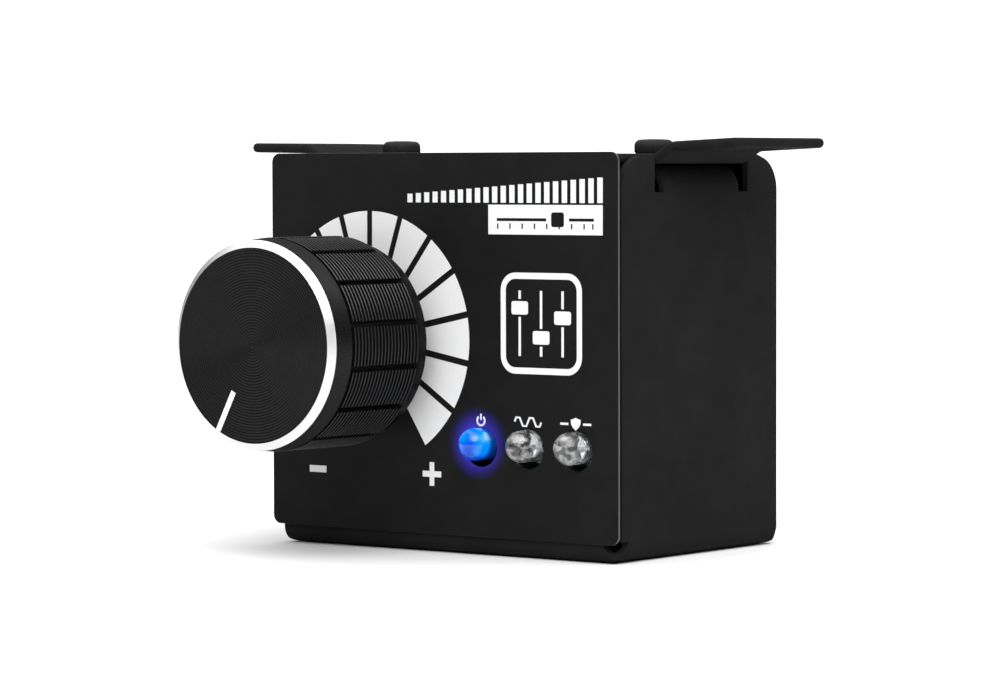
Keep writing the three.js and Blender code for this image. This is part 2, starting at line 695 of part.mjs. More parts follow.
function headerFront() {
  const back = BOARD.front + BOARD.thickness + GAP;
  return block([HEADER.x - HEADER.halfWidth, HEADER.x + HEADER.halfWidth], [back, back + 3.4], [12.8, 15.4]);
}

function headerRear() {
  const top = JACK_BOARD.bottom + JACK_BOARD.thickness + GAP;
  return block([HEADER.x - HEADER.halfWidth, HEADER.x + HEADER.halfWidth], [4.2, 6.8], [top, top + 3.4]);
}

// The ribbon leaves the front header backwards and drops into the rear header with a little slack.
function ribbonCable() {
  const startY = BOARD.front + BOARD.thickness + GAP + 3.4 + GAP;
  const endZ = JACK_BOARD.bottom + JACK_BOARD.thickness + GAP + 3.4 + GAP;
  const curve = new THREE.CubicBezierCurve(
    new THREE.Vector2(startY, 14.1), new THREE.Vector2(startY + 8, 14.1),
    new THREE.Vector2(5.5, 24.0), new THREE.Vector2(5.5, endZ),
  );
  return prism(stripAlong(curve.getSpacedPoints(14), 0.9), 'x', HEADER.x - 2.54, HEADER.x + 2.54);
}

// ---------------------------------------------------------------- assembly

const finishes = {
  powderCoat: { color: 0x1b1b1c, roughness: 0.7, metalness: 0.1 },
  printedPlate: { color: 0x141415, roughness: 0.6, metalness: 0.2 },
  screwSteel: { color: 0x2a2a2c, roughness: 0.45, metalness: 0.8 },
  brightSteel: { color: 0xb8b8ba, roughness: 0.35, metalness: 1.0 },
  anodised: { color: 0x1a1a1b, roughness: 0.4, metalness: 0.8 },
  whitePaint: { color: 0xf0f0f0, roughness: 0.5, metalness: 0.0 },
  blackPlastic: { color: 0x111112, roughness: 0.5, metalness: 0.0 },
  brass: { color: 0xb08d4a, roughness: 0.4, metalness: 1.0 },
  lensBlue: { color: 0x2f8fff, roughness: 0.1, metalness: 0.0 },
  lensClear: { color: 0xe6eef2, roughness: 0.05, metalness: 0.0 },
  boardGreen: { color: 0x155c33, roughness: 0.5, metalness: 0.0 },
  phenolic: { color: 0x6b4526, roughness: 0.6, metalness: 0.0 },
  nylon: { color: 0xd8d4c8, roughness: 0.6, metalness: 0.0 },
  ribbonGrey: { color: 0x8a8d92, roughness: 0.6, metalness: 0.0 },
};

const assembly = new THREE.Group();

function add(name, body, finish) {
  const mesh = new THREE.Mesh(geometryOf(body), new THREE.MeshStandardMaterial(finishes[finish]));
  mesh.name = name;
  assembly.add(mesh);
}

add('shell_tray', trayBody(), 'powderCoat');
add('top_cover', coverBody(), 'powderCoat');
add('front_plate', plateBody(), 'printedPlate');
const coverSeat = COVER_UNDERSIDE + COVER_SHEET + GAP;
add('cover_screw_left', panScrew(-COVER_SCREW.x, COVER_SCREW.y, coverSeat, COVER_SCREW), 'screwSteel');
add('cover_screw_right', panScrew(COVER_SCREW.x, COVER_SCREW.y, coverSeat, COVER_SCREW), 'screwSteel');

add('knob_shell', knobShell(), 'anodised');
add('knob_pointer', knobPointer(), 'whitePaint');
add('knob_hub', knobHub(), 'blackPlastic');
add('pot_shaft', potShaft(), 'brightSteel');
add('pot_wiper', potWiper(), 'brass');
add('pot_wafer', potWafer(), 'phenolic');
add('pot_housing', potHousing(), 'brightSteel');
add('pot_bushing', bushing(), 'brass');
add('pot_washer', potWasher(), 'brightSteel');
add('pot_nut', potNut(), 'brightSteel');
[-1, 0, 1].forEach((step, index) => {
  add(`pot_pin_${index + 1}`, potPin(step), 'brightSteel');
});

Object.entries(LAMP_X).forEach(([name, x]) => {
  add(`lamp_${name}_lens`, lampLens(x), name === 'on' ? 'lensBlue' : 'lensClear');
  add(`lamp_${name}_cathode`, lampLead(x, 'cathode'), 'brightSteel');
  add(`lamp_${name}_anode`, lampLead(x, 'anode'), 'brightSteel');
  add(`lamp_${name}_spacer`, lampSpacer(x), 'nylon');
});

add('control_board', controlBoard(), 'boardGreen');
Object.values(LAMP_X).forEach((x, index) => {
  add(`chip_resistor_${index + 1}`, chipResistor(x), 'blackPlastic');
});
add('header_front', headerFront(), 'nylon');
add('header_rear', headerRear(), 'nylon');
add('ribbon_cable', ribbonCable(), 'ribbonGrey');
add('jack_board', jackBoard(), 'boardGreen');
add('jack_housing', jackHousing(), 'blackPlastic');
[0, 1, 2, 3].forEach((index) => {
  add(`jack_contact_${index + 1}`, jackContact(index), 'brass');
});
[['left', -1], ['right', 1]].forEach(([name, side]) => {
  add(`board_standoff_${name}`, standoff(side), 'brass');
  add(`board_screw_${name}`, boardScrew(side), 'brightSteel');
});

export default assembly;
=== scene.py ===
"""Looks of the remote level control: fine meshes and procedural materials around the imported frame.

Outlines and sizes are in millimetres and go through MM on their way into Blender's metres.
"""

import json
import math

import bmesh
import bpy
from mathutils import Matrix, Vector


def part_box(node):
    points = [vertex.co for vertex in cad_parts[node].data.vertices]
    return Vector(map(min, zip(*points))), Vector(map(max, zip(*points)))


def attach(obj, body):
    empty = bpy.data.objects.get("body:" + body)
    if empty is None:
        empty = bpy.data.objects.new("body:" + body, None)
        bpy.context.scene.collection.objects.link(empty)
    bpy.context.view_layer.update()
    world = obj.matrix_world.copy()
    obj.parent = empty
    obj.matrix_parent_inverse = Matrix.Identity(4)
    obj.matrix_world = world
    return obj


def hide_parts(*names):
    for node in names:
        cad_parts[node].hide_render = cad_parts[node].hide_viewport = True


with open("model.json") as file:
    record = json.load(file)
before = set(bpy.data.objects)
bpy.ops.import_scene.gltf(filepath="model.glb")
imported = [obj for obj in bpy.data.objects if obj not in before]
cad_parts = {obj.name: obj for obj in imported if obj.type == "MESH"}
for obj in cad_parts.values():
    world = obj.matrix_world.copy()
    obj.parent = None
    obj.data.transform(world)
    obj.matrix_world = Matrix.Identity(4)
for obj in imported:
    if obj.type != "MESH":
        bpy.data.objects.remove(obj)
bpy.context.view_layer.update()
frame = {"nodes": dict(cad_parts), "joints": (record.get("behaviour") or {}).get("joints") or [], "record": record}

MM = 0.001


# ---------------------------------------------------------------- places taken from the frame


def box_mm(node):
    """Lowest and highest corner of a CAD node, in millimetres."""
    low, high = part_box(node)
    return low / MM, high / MM


TRAY_LOW, TRAY_HIGH = box_mm("shell_tray")
PLATE_LOW, PLATE_HIGH = box_mm("front_plate")
COVER_HIGH = box_mm("top_cover")[1]
KNOB_LOW = box_mm("knob_shell")[0]
PIVOT = Vector(frame["joints"][0]["pos_m"]) / MM
AXIS = (PIVOT.x, PIVOT.z)
LAMPS = {}
for lamp_name in ("on", "clip", "protect"):
    lamp_low, lamp_high = box_mm(f"lamp_{lamp_name}_lens")
    LAMPS[lamp_name] = ((lamp_low.x + lamp_high.x) / 2, (lamp_low.z + lamp_high.z) / 2)
LAMP_TIP = lamp_low.y
LAMP_BASE = lamp_high.y

# ---------------------------------------------------------------- sizes that the boxes don't give

SHEET = 1.0
COVER_SHEET = 1.5
BEND = 2.5
EDGE = 0.42  # how far the powder coat rounds a punched edge
COVER_EDGE = 0.68
TOUCH = 0.02  # how far sheets that lie on each other sink in, so that no light shows between

FLAP_HALF_DEPTH = 20.5
FLAP_TOP_RADIUS = 5.2
FLAP_HEEL_RADIUS = 3.0
RELIEF = (2.5, 3.2, 2.0)
RELIEF_TOP = 3.2

TAB_CENTRE = 0.25
TAB_HALF_WIDTH = 9.8
TAB_REACH = 20.5
TAB_BEND = 3.5
NOTCH_HALF_WIDTH = 12.3
NOTCH_FLOOR = 54.85

EAR_HALF_WIDTH = 12.05
EAR_CORNER = 1.0
EAR_TILT = {-1: math.radians(1.0), 1: math.radians(2.5)}
JOGGLE_START = 32.4
JOGGLE_END = 35.4
JOGGLE_RISE = 1.8
JOGGLE_BEND = 2.4
SLOT_X = 41.5
SLOT_WIDTH = 5.0
SLOT_LENGTH = 12.0
COVER_HALF_WIDTH = 31.5
COVER_UNDERSIDE = 59.1
COVER_FRONT = -21.7
LIP_RADIUS = 5.2
LIP_BOTTOM = 51.0
EAR_FILLET = 0.6

LAMP_HOLE_DROP = 0.5  # the lamps sit this much above the middle of their holes
LAMP_HOLE_RADIUS = 3.0
LAMP_RADIUS = 2.45
LAMP_FLANGE = 2.9
LAMP_SHEET = 0.5  # thickness of a lamp's frames
LAMP_LEG = 0.43  # from the cathode's edge to the middle of its leg
CUP_DEPTH = 0.5
CHIP_HEIGHT = 0.16
INK = 0.025  # how far the print stands out of the plate
SCALE_RADII = (11.2, 19.5)
SCALE_END = 147.3  # the clock angle at which the level scale ends
PLATE_CORNER = 1.4
BUSHING_RADIUS = 3.5
SCREW_SHANK = 1.45
JACK_AIR = 0.2  # how much wider than the jack its window is, on each side

KNOB_REAR = -27.2
KNOB_REAR_RADIUS = 15.2
KNOB_GRIP = (-29.8, -45.1)
KNOB_GRIP_RADIUS = 16.05
KNOB_BAND_RADIUS = (16.0, 15.7)
KNOB_BAND = (-45.7, -49.1)
KNOB_FACE_RADIUS = 14.6
KNOB_BORE = 12.5
KNOB_CAP = 3.0
KNOB_SLOTS = 15
KNOB_GROOVES = 20  # turned into the grip
BAND_LINES = 14
FACE_RINGS = 33
POINTER_TURN = 28  # degrees past straight down
POINTER_HALF_WIDTH = 0.475
POINTER_INNER = 7.9


# ---------------------------------------------------------------- outlines


def arc(centre_u, centre_v, radius, start, end, steps=8):
    """Points along an arc, with its angles in degrees."""
    angles = [math.radians(start + (end - start) * k / steps) for k in range(steps + 1)]
    return [(centre_u + radius * math.cos(a), centre_v + radius * math.sin(a)) for a in angles]


def circle(centre_u, centre_v, radius, steps=48):
    return arc(centre_u, centre_v, radius, 0, 360, steps)[:-1]


def rounded_rectangle(u0, u1, v0, v1, radius, steps=8):
    return (
        arc(u1 - radius, v0 + radius, radius, -90, 0, steps)
        + arc(u1 - radius, v1 - radius, radius, 0, 90, steps)
        + arc(u0 + radius, v1 - radius, radius, 90, 180, steps)
        + arc(u0 + radius, v0 + radius, radius, 180, 270, steps)
    )


def rectangle(u0, u1, v0, v1):
    return [(u0, v0), (u1, v0), (u1, v1), (u0, v1)]


def bent_path(corners, bend, steps=8):
    """A path whose corners are rounded to a bend radius."""
    path = [Vector(corners[0])]
    for before, here, after in zip(corners, corners[1:], corners[2:]):
        here = Vector(here)
        back = (Vector(before) - here).normalized()
        on = (Vector(after) - here).normalized()
        half = back.angle(on) / 2
        hub = here + (back + on).normalized() * (bend / math.sin(half))
        start = here + back * (bend / math.tan(half)) - hub
        end = here + on * (bend / math.tan(half)) - hub
        first = math.atan2(start.y, start.x)
        sweep = math.remainder(math.atan2(end.y, end.x) - first, math.tau)
        for k in range(steps + 1):
            angle = first + sweep * k / steps
            path.append(hub + Vector((math.cos(angle), math.sin(angle))) * bend)
    path.append(Vector(corners[-1]))
    return path


def strip_outline(path, thickness):
    """The outline of a strip of even thickness whose middle follows the path."""
    left = []
    right = []
    last = len(path) - 1
    for i, point in enumerate(path):
        along = (path[min(i + 1, last)] - path[max(i - 1, 0)]).normalized()
        normal = Vector((-along.y, along.x)) * (thickness / 2)
        left.append(tuple(point + normal))
        right.append(tuple(point - normal))
    return left + right[::-1]


# ---------------------------------------------------------------- mesh tools

MERGE = 0.002 * MM  # corners closer than this are one

PUSH = {
    "x": lambda u, v, w: Vector((w, u, v)) * MM,
    "y": lambda u, v, w: Vector((u, w, v)) * MM,
    "z": lambda u, v, w: Vector((u, v, w)) * MM,
}


def as_object(bm):
    """Makes an object of a finished mesh, with its faces turned outwards."""
    bmesh.ops.recalc_face_normals(bm, faces=bm.faces)
    mesh = bpy.data.meshes.new("tool")
    bm.to_mesh(mesh)
    bm.free()
    obj = bpy.data.objects.new("tool", mesh)
    bpy.context.scene.collection.objects.link(obj)
    return obj


def add_prism(bm, outline, axis, low, high):
    """Adds an outline pushed along an axis to a mesh.

    The outline lies in (y, z) when pushed along x, in (x, z) along y and in (x, y) along z.
    """
    place = PUSH[axis]
    near = [bm.verts.new(place(u, v, low)) for u, v in outline]
    far = [bm.verts.new(place(u, v, high)) for u, v in outline]
    bm.faces.new(near)
    bm.faces.new(far[::-1])
    for i in range(len(outline)):
        j = (i + 1) % len(outline)
        bm.faces.new((near[j], near[i], far[i], far[j]))


def prism(outline, axis, low, high):
    return prisms([outline], axis, low, high)


def prisms(outlines, axis, low, high):
    bm = bmesh.new()
    for outline in outlines:
        add_prism(bm, outline, axis, low, high)
    return as_object(bm)


def block(x0, x1, y0, y1, z0, z1):
    return prism(rectangle(x0, x1, y0, y1), "z", z0, z1)


def bridge(bm, a, b):
    """Joins two rings of corners, either of which may be a single point."""
    steps = max(len(a), len(b))
    for k in range(steps):
        j = (k + 1) % steps
        corners = [a[k % len(a)], a[j % len(a)], b[j % len(b)], b[k % len(b)]]
        bm.faces.new(list(dict.fromkeys(corners)))


def add_turned(bm, profile, centre, steps=64, axis="y", closed=False):
    """Adds a profile of (radius, along) turned about an axis through centre.

    A closed profile has its two ends joined.
    """
    place = PUSH[axis]
    rings = []
    for radius, along in profile:
        if radius < 1e-6:
            rings.append([bm.verts.new(place(centre[0], centre[1], along))])
        else:
            outline = circle(*centre, radius, steps)
            rings.append([bm.verts.new(place(u, v, along)) for u, v in outline])
    pairs = list(zip(rings, rings[1:]))
    if closed:
        pairs.append((rings[-1], rings[0]))
    for a, b in pairs:
        bridge(bm, a, b)


def turned(profile, centre, steps=64, axis="y", closed=False):
    bm = bmesh.new()
    add_turned(bm, profile, centre, steps, axis, closed)
    return as_object(bm)


def bake(obj):
    """Turns an object's modifiers into its mesh."""
    graph = bpy.context.evaluated_depsgraph_get()
    mesh = bpy.data.meshes.new_from_object(obj.evaluated_get(graph))
    obj.modifiers.clear()
    old = obj.data
    obj.data = mesh
    bpy.data.meshes.remove(old)
    return obj


def combine(target, tool, operation):
    modifier = target.modifiers.new("combine", "BOOLEAN")
    modifier.operation = operation
    modifier.solver = "EXACT"
    modifier.object = tool
    bake(target)
    bpy.data.objects.remove(tool)
    return target


def cut(target, *tools):
    for tool in tools:
        combine(target, tool, "DIFFERENCE")
    return target


def join(target, *tools):
    for tool in tools:
        combine(target, tool, "UNION")
    return target


def tidy(obj):
    """Merges doubled corners and lets each flat face be one polygon."""
    bm = bmesh.new()
    bm.from_mesh(obj.data)
    bmesh.ops.remove_doubles(bm, verts=bm.verts, dist=MERGE)
    bmesh.ops.dissolve_degenerate(bm, edges=bm.edges, dist=MERGE)
    bmesh.ops.dissolve_limit(bm, angle_limit=math.radians(0.4), verts=bm.verts, edges=bm.edges)
    bm.to_mesh(obj.data)
    bm.free()
    return obj


def soften(obj, width, segments=3, angle=40, clamp=True):
    """Rounds every edge that is sharper than the angle."""
    modifier = obj.modifiers.new("soften", "BEVEL")
    modifier.width = width * MM
    modifier.segments = segments
    modifier.limit_method = "ANGLE"
    modifier.angle_limit = math.radians(angle)
    modifier.use_clamp_overlap = clamp
    return bake(obj)


def smooth(obj, angle=38):
    """Smooth shading that breaks at sharp edges and follows the large faces."""
    obj.data.shade_smooth()
    obj.data.set_sharp_from_angle(angle=math.radians(angle))
    modifier = obj.modifiers.new("weighted", "WEIGHTED_NORMAL")
    modifier.keep_sharp = True
    return bake(obj)


def piece(obj, name, body, slot, stands_for=(), extra_finishes=()):
    """Names a finished mesh, gives it its slot's material and lets it ride on its body."""
    obj.name = name
    obj.data.name = name
    obj.data.materials.clear()
    for each in (FINISHES[slot], *extra_finishes):
        obj.data.materials.append(each)
    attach(obj, body)
    if stands_for:
        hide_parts(*stands_for)
    return obj


# ---------------------------------------------------------------- material tools


class Finish:
    """A node material grown around one Principled shader, its patterns placed in object space."""

    def __init__(self, name, colour, roughness, metallic=0.0, **inputs):
        self.material = bpy.data.materials.new(name)
        self.material.use_nodes = True
        self.tree = self.material.node_tree
        self.shader = self.tree.nodes["Principled BSDF"]
        self.colour = (*colour, 1.0)
        self.shader.inputs["Base Color"].default_value = self.colour
        self.shader.inputs["Roughness"].default_value = roughness
        self.shader.inputs["Metallic"].default_value = metallic
        for key, value in inputs.items():
            self.shader.inputs[key.replace("_", " ")].default_value = value
        self.place = self.node("ShaderNodeTexCoord").outputs["Object"]
        self.last_bump = None

    def node(self, kind, **settings):
        made = self.tree.nodes.new(kind)
        for key, value in settings.items():
            setattr(made, key, value)
        return made

    def link(self, source, target):
        self.tree.links.new(source, target)

    def stretched(self, stretch):
        """Object space scaled by a factor along each axis."""
        mapping = self.node("ShaderNodeMapping")
        mapping.inputs["Scale"].default_value = stretch
        self.link(self.place, mapping.inputs["Vector"])
        return mapping.outputs["Vector"]

    def noise(self, size, detail=2.0, rough=0.5, stretch=(1, 1, 1)):
        """Noise whose blobs are about size millimetres across."""
        made = self.node("ShaderNodeTexNoise")
        made.inputs["Scale"].default_value = 1.0 / (size * MM)
        made.inputs["Detail"].default_value = detail
        made.inputs["Roughness"].default_value = rough
        self.link(self.stretched(stretch), made.inputs["Vector"])
        return made.outputs["Fac"]

    def spread(self, value, low, high, start=0.3, end=0.7):
        """A pattern's middle range spread between two values."""
        made = self.node("ShaderNodeMapRange")
        made.inputs["From Min"].default_value = start
        made.inputs["From Max"].default_value = end
        made.inputs["To Min"].default_value = low
        made.inputs["To Max"].default_value = high
        self.link(value, made.inputs["Value"])
        return made.outputs["Result"]

    def tint(self, value, dark, light):
        """Colours the base between two colours by a pattern."""
        made = self.node("ShaderNodeMix", data_type="RGBA")
        made.inputs["A"].default_value = (*dark, 1.0)
        made.inputs["B"].default_value = (*light, 1.0)
        self.link(value, made.inputs["Factor"])
        self.link(made.outputs["Result"], self.shader.inputs["Base Color"])

    def mottle(self, dark, light, *noise):
        """Colours the base between two colours by a noise."""
        self.tint(self.spread(self.noise(*noise), 0, 1), dark, light)

    def from_point(self, x, z):
        """Object space measured from a point on the front, given in millimetres."""
        made = self.node("ShaderNodeVectorMath", operation="SUBTRACT")
        made.inputs[1].default_value = Vector((x, 0, z)) * MM
        self.link(self.place, made.inputs[0])
        return made.outputs["Vector"]

    def total(self, *values):
        """The sum of several patterns."""
        result = values[0]
        for value in values[1:]:
            made = self.node("ShaderNodeMath", operation="ADD")
            self.link(result, made.inputs[0])
            self.link(value, made.inputs[1])
            result = made.outputs["Value"]
        return result

    def shine(self, value, low, high):
        self.link(self.spread(value, low, high), self.shader.inputs["Roughness"])

    def bump(self, height, distance, strength=1.0):
        """Adds relief of a height in millimetres."""
        made = self.node("ShaderNodeBump")
        made.inputs["Strength"].default_value = strength
        made.inputs["Distance"].default_value = distance * MM
        self.link(height, made.inputs["Height"])
        if self.last_bump:
            self.link(self.last_bump, made.inputs["Normal"])
        self.last_bump = made.outputs["Normal"]
        self.link(self.last_bump, self.shader.inputs["Normal"])


def grey(level):
    return (level, level, level * 1.02)


def powder_coat():
    made = Finish("powder_coat", grey(0.0145), 0.78, Specular_IOR_Level=0.02)
    fine = made.noise(0.28, 3.0, 0.6)
    made.mottle(grey(0.013), grey(0.016), 6.0, 3.0)
    made.shine(fine, 0.62, 0.84)
    made.bump(fine, 0.018, 0.55)
    made.bump(made.noise(1.6, 2.0), 0.03, 0.35)
    return made.material


def plate_ink():
    """Matt black ink, with the blue glow that the lit lamp throws on it."""
    made = Finish("plate_ink", grey(0.0085), 0.55, Specular_IOR_Level=0.08)
    fine = made.noise(0.09, 3.0, 0.6)
    made.mottle(grey(0.0075), grey(0.0095), 4.0, 4.0)
    made.shine(fine, 0.46, 0.66)
    made.bump(fine, 0.006, 0.4)
    x, z = LAMPS["on"]
    offset = made.from_point(x - 0.6, z)
    flat = made.node("ShaderNodeVectorMath", operation="MULTIPLY")
    flat.inputs[1].default_value = (1, 0, 1)
    made.link(offset, flat.inputs[0])
    reach = made.node("ShaderNodeVectorMath", operation="LENGTH")
    made.link(flat.outputs["Vector"], reach.inputs[0])
    near = made.spread(reach.outputs["Value"], 1, 0, 2.3 * MM, 5.9 * MM)
    fade = made.node("ShaderNodeMath", operation="POWER")
    fade.inputs[1].default_value = 1.8
    made.link(near, fade.inputs[0])
    made.link(fade.outputs["Value"], made.shader.inputs["Emission Strength"])
    made.shader.inputs["Emission Color"].default_value = (0.05, 0.032, 0.62, 1)
    return made.material


def speckled(name, colour, roughness, metallic=0.0, mottle=None, shine=None, bumps=(), **inputs):
    """A finish of three noises: one in its colour, one in its gloss and one in its relief.

    mottle is (dark, light, *noise), shine is (low, high, *noise), and bumps holds
    (height, strength, *noise). A noise is a size in millimetres, detail, roughness and stretch.
    """
    made = Finish(name, colour, roughness, metallic, **inputs)
    if mottle:
        made.mottle(*mottle)
    if shine:
        low, high, *noise = shine
        made.shine(made.noise(*noise), low, high)
    for height, strength, *noise in bumps:
        made.bump(made.noise(*noise), height, strength)
    return made.material


def black_anodised(name, level, sheen):
    return speckled(
        name, grey(level), 0.3, 0.75,
        mottle=(grey(level * 0.93), grey(level * 1.07), 2.5, 3.0),
        shine=(0.26, 0.36, 0.2, 3.0, 0.6), bumps=[(0.002, 0.4, 0.05, 2.0)],
        Specular_IOR_Level=0.2, Specular_Tint=(sheen, sheen, sheen, 1),
    )


def moulded_plastic(name, dark, light, low=0.38, high=0.55):
    return speckled(
        name, light, low, mottle=(dark, light, 3.0, 3.0), shine=(low, high, 0.3, 3.0),
        bumps=[(0.006, 0.4, 0.12, 3.0, 0.6)], Specular_IOR_Level=0.4,
    )


def circuit_board():
    """Green solder mask over glass cloth, with the weave just showing."""
    made = Finish("circuit_board", (0.012, 0.11, 0.045), 0.35, Coat_Weight=0.3)
    weave = made.node("ShaderNodeTexWave", wave_type="BANDS", bands_direction="DIAGONAL")
    weave.inputs["Scale"].default_value = 700
    weave.inputs["Distortion"].default_value = 1.0
    made.link(made.place, weave.inputs["Vector"])
    made.mottle((0.008, 0.075, 0.03), (0.018, 0.14, 0.055), 1.4, 4.0)
    made.shine(made.noise(0.8, 3.0), 0.28, 0.42)
    made.bump(weave.outputs["Fac"], 0.004, 0.3)
    return made.material


def clear_epoxy():
    """Water-clear epoxy with the milky streaks that light caught inside a lens makes."""
    made = Finish("clear_epoxy", (0.93, 0.94, 0.95), 0.03, IOR=1.53)
    streaks = made.noise(1.4, 2.0, 0.5, (1, 0.7, 1.5))
    clearness = made.spread(streaks, 0.98, 0.66, 0.46, 0.62)
    made.link(clearness, made.shader.inputs["Transmission Weight"])
    made.shine(made.noise(0.8, 2.0), 0.015, 0.06)
    made.bump(made.noise(1.1, 2.0), 0.004, 0.3)
    return made.material


def lit_epoxy():
    """Epoxy whose dome is full of blue light, mottled by the facets of the cup behind it."""
    made = Finish("lit_epoxy", (0.0, 0.06, 0.42), 0.06, IOR=1.53, Transmission_Weight=0.12)
    offset = made.from_point(*LAMPS["on"])
    parts = made.node("ShaderNodeSeparateXYZ")
    made.link(offset, parts.inputs["Vector"])
    cells = made.node("ShaderNodeTexVoronoi", feature="SMOOTH_F1")
    cells.inputs["Scale"].default_value = 1.0 / (1.5 * MM)
    cells.inputs["Smoothness"].default_value = 0.25
    streaks = made.node("ShaderNodeTexNoise")
    streaks.inputs["Scale"].default_value = 1.0 / (0.9 * MM)
    streaks.inputs["Detail"].default_value = 4.0
    made.link(made.place, streaks.inputs["Vector"])
    bent = made.node("ShaderNodeVectorMath", operation="MULTIPLY_ADD")
    bent.inputs[1].default_value = Vector((0.9, 0.9, 0.9)) * MM
    made.link(streaks.outputs["Color"], bent.inputs[0])
    made.link(made.place, bent.inputs[2])
    made.link(bent.outputs["Vector"], cells.inputs["Vector"])

    upper = made.spread(parts.outputs["Z"], 0.0, 0.42, -0.7 * MM, 1.5 * MM)
    right = made.spread(parts.outputs["X"], 0.0, 0.5, 1.1 * MM, 2.2 * MM)
    facets = made.spread(cells.outputs["Distance"], 0.36, 0.0, 0.15, 0.7)
    ramp = made.node("ShaderNodeValToRGB")
    stops = ramp.color_ramp.elements
    stops[0].position = 0.12
    stops[0].color = (0.0, 0.035, 0.38, 1)
    stops[1].position = 0.98
    stops[1].color = (0.45, 0.95, 1.0, 1)
    for place, colour in ((0.36, (0.0, 0.17, 0.85, 1)), (0.7, (0.0, 0.42, 1.0, 1))):
        stops.new(place).color = colour
    made.link(made.total(upper, right, facets), ramp.inputs["Fac"])
    made.link(ramp.outputs["Color"], made.shader.inputs["Emission Color"])
    dome = LAMP_TIP + LAMP_RADIUS
    glow = made.spread(parts.outputs["Y"], 0.72, 0.02, (dome + 0.1) * MM, (dome + 1.1) * MM)
    made.link(glow, made.shader.inputs["Emission Strength"])
    made.bump(made.noise(1.1, 2.0), 0.004, 0.3)
    return made.material


FINISHES = {
    "powder_coat": powder_coat(),
    "printed_plate": plate_ink(),
    "black_screw": speckled(
        "black_zinc", grey(0.024), 0.6, mottle=(grey(0.019), grey(0.030), 0.8, 4.0),
        shine=(0.5, 0.7, 0.25, 3.0), bumps=[(0.006, 0.4, 0.15, 3.0)], Specular_IOR_Level=0.06,
    ),
    "anodised_knob": black_anodised("black_anodised", 0.0195, 0.3),
    "white_print": speckled(
        "white_ink", (0.80, 0.80, 0.80), 0.5,
        mottle=((0.77, 0.77, 0.775), (0.85, 0.85, 0.85), 0.16, 3.0, 0.6),
        bumps=[(0.004, 0.5, 0.12, 2.0)], Specular_IOR_Level=0.3,
    ),
    "black_plastic": moulded_plastic("black_plastic", grey(0.012), grey(0.02)),
    "resistor_body": moulded_plastic("resistor_body", grey(0.016), grey(0.028), 0.25, 0.4),
    "plated_steel": speckled(
        "plated_steel", (0.60, 0.60, 0.61), 0.3, 1.0,
        mottle=((0.5, 0.5, 0.52), (0.66, 0.66, 0.67), 1.2, 4.0),
        shine=(0.22, 0.42, 0.2, 3.0), bumps=[(0.004, 0.35, 0.1, 2.0, 0.5, (1, 6, 1))],
    ),
    "tinned_lead": speckled(
        "tinned_lead", (0.66, 0.66, 0.68), 0.28, 1.0,
        mottle=((0.55, 0.55, 0.57), (0.74, 0.74, 0.76), 0.6, 4.0),
        shine=(0.18, 0.4, 0.15, 3.0), bumps=[(0.006, 0.3, 0.2, 3.0)],
    ),
    "brass": speckled(
        "turned_brass", (0.66, 0.48, 0.20), 0.32, 1.0,
        mottle=((0.52, 0.36, 0.14), (0.72, 0.53, 0.24), 0.9, 4.0),
        shine=(0.24, 0.45, 0.2, 3.0), bumps=[(0.004, 0.4, 0.06, 2.0, 0.5, (1, 8, 1))],
    ),
    "gold_contact": speckled(
        "gold_contact", (0.83, 0.60, 0.20), 0.22, 1.0,
        mottle=((0.76, 0.53, 0.16), (0.88, 0.66, 0.26), 0.5, 3.0),
        shine=(0.16, 0.32, 0.2, 3.0),
    ),
    "phenolic": speckled(
        "phenolic", (0.20, 0.09, 0.035), 0.55,
        mottle=((0.13, 0.055, 0.02), (0.27, 0.13, 0.055), 0.5, 5.0, 0.7),
        shine=(0.45, 0.65, 0.4, 3.0), bumps=[(0.01, 0.4, 0.2, 3.0)],
    ),
    "lit_lens": lit_epoxy(),
    "clear_lens": clear_epoxy(),
    "nylon": moulded_plastic("nylon", (0.62, 0.6, 0.52), (0.78, 0.76, 0.68)),
    "circuit_board": circuit_board(),
    "ribbon_sheath": moulded_plastic("ribbon_sheath", (0.2, 0.21, 0.23), (0.3, 0.31, 0.33)),
}
BARE_ALUMINIUM = speckled(
    "bare_aluminium", (0.16, 0.16, 0.165), 0.45, 1.0,
    shine=(0.36, 0.6, 0.12, 2.0, 0.6, (1, 8, 1)),
    bumps=[(0.006, 0.5, 0.08, 2.0, 0.6, (1, 10, 1))],
)
BRIGHT_CUT = speckled(
    "bright_cut", (0.76, 0.76, 0.765), 0.34, 0.75,
    shine=(0.28, 0.42, 0.3, 3.0), bumps=[(0.001, 0.4, 0.03, 2.0)],
)
# painted highlight: a lighter anodised finish on the grip's crests, standing in for the lines of light along them
PAINTED_CREST_HIGHLIGHT = black_anodised("painted_crest_highlight", 0.05, 0.45)
STUDIO_PAPER = speckled(
    "studio_paper", (0.82, 0.82, 0.82), 0.9,
    mottle=((0.81, 0.81, 0.81), (0.83, 0.83, 0.83), 90.0, 2.0), Specular_IOR_Level=0.1,
)


# ---------------------------------------------------------------- tray


def tray_section(half, wall):
    """The U with rounded lower corners that one pair of walls makes with the floor."""
    radius = BEND - wall
    top = TRAY_HIGH.z + (1.0 if wall else 0.0)
    low_arcs = arc(-half + radius, wall + radius, radius, 180, 270, 12)
    high_arcs = arc(half - radius, wall + radius, radius, 270, 360, 12)
    return [(-half, top)] + low_arcs + high_arcs + [(half, top)]


def tray_block(wall):
    half_width = TRAY_HIGH.x - wall
    half_depth = TRAY_HIGH.y - wall
    across = prism(tray_section(half_width, wall), "y", -half_depth, half_depth)
    along = prism(tray_section(half_depth, wall), "x", -half_width, half_width)
    return combine(across, along, "INTERSECT")


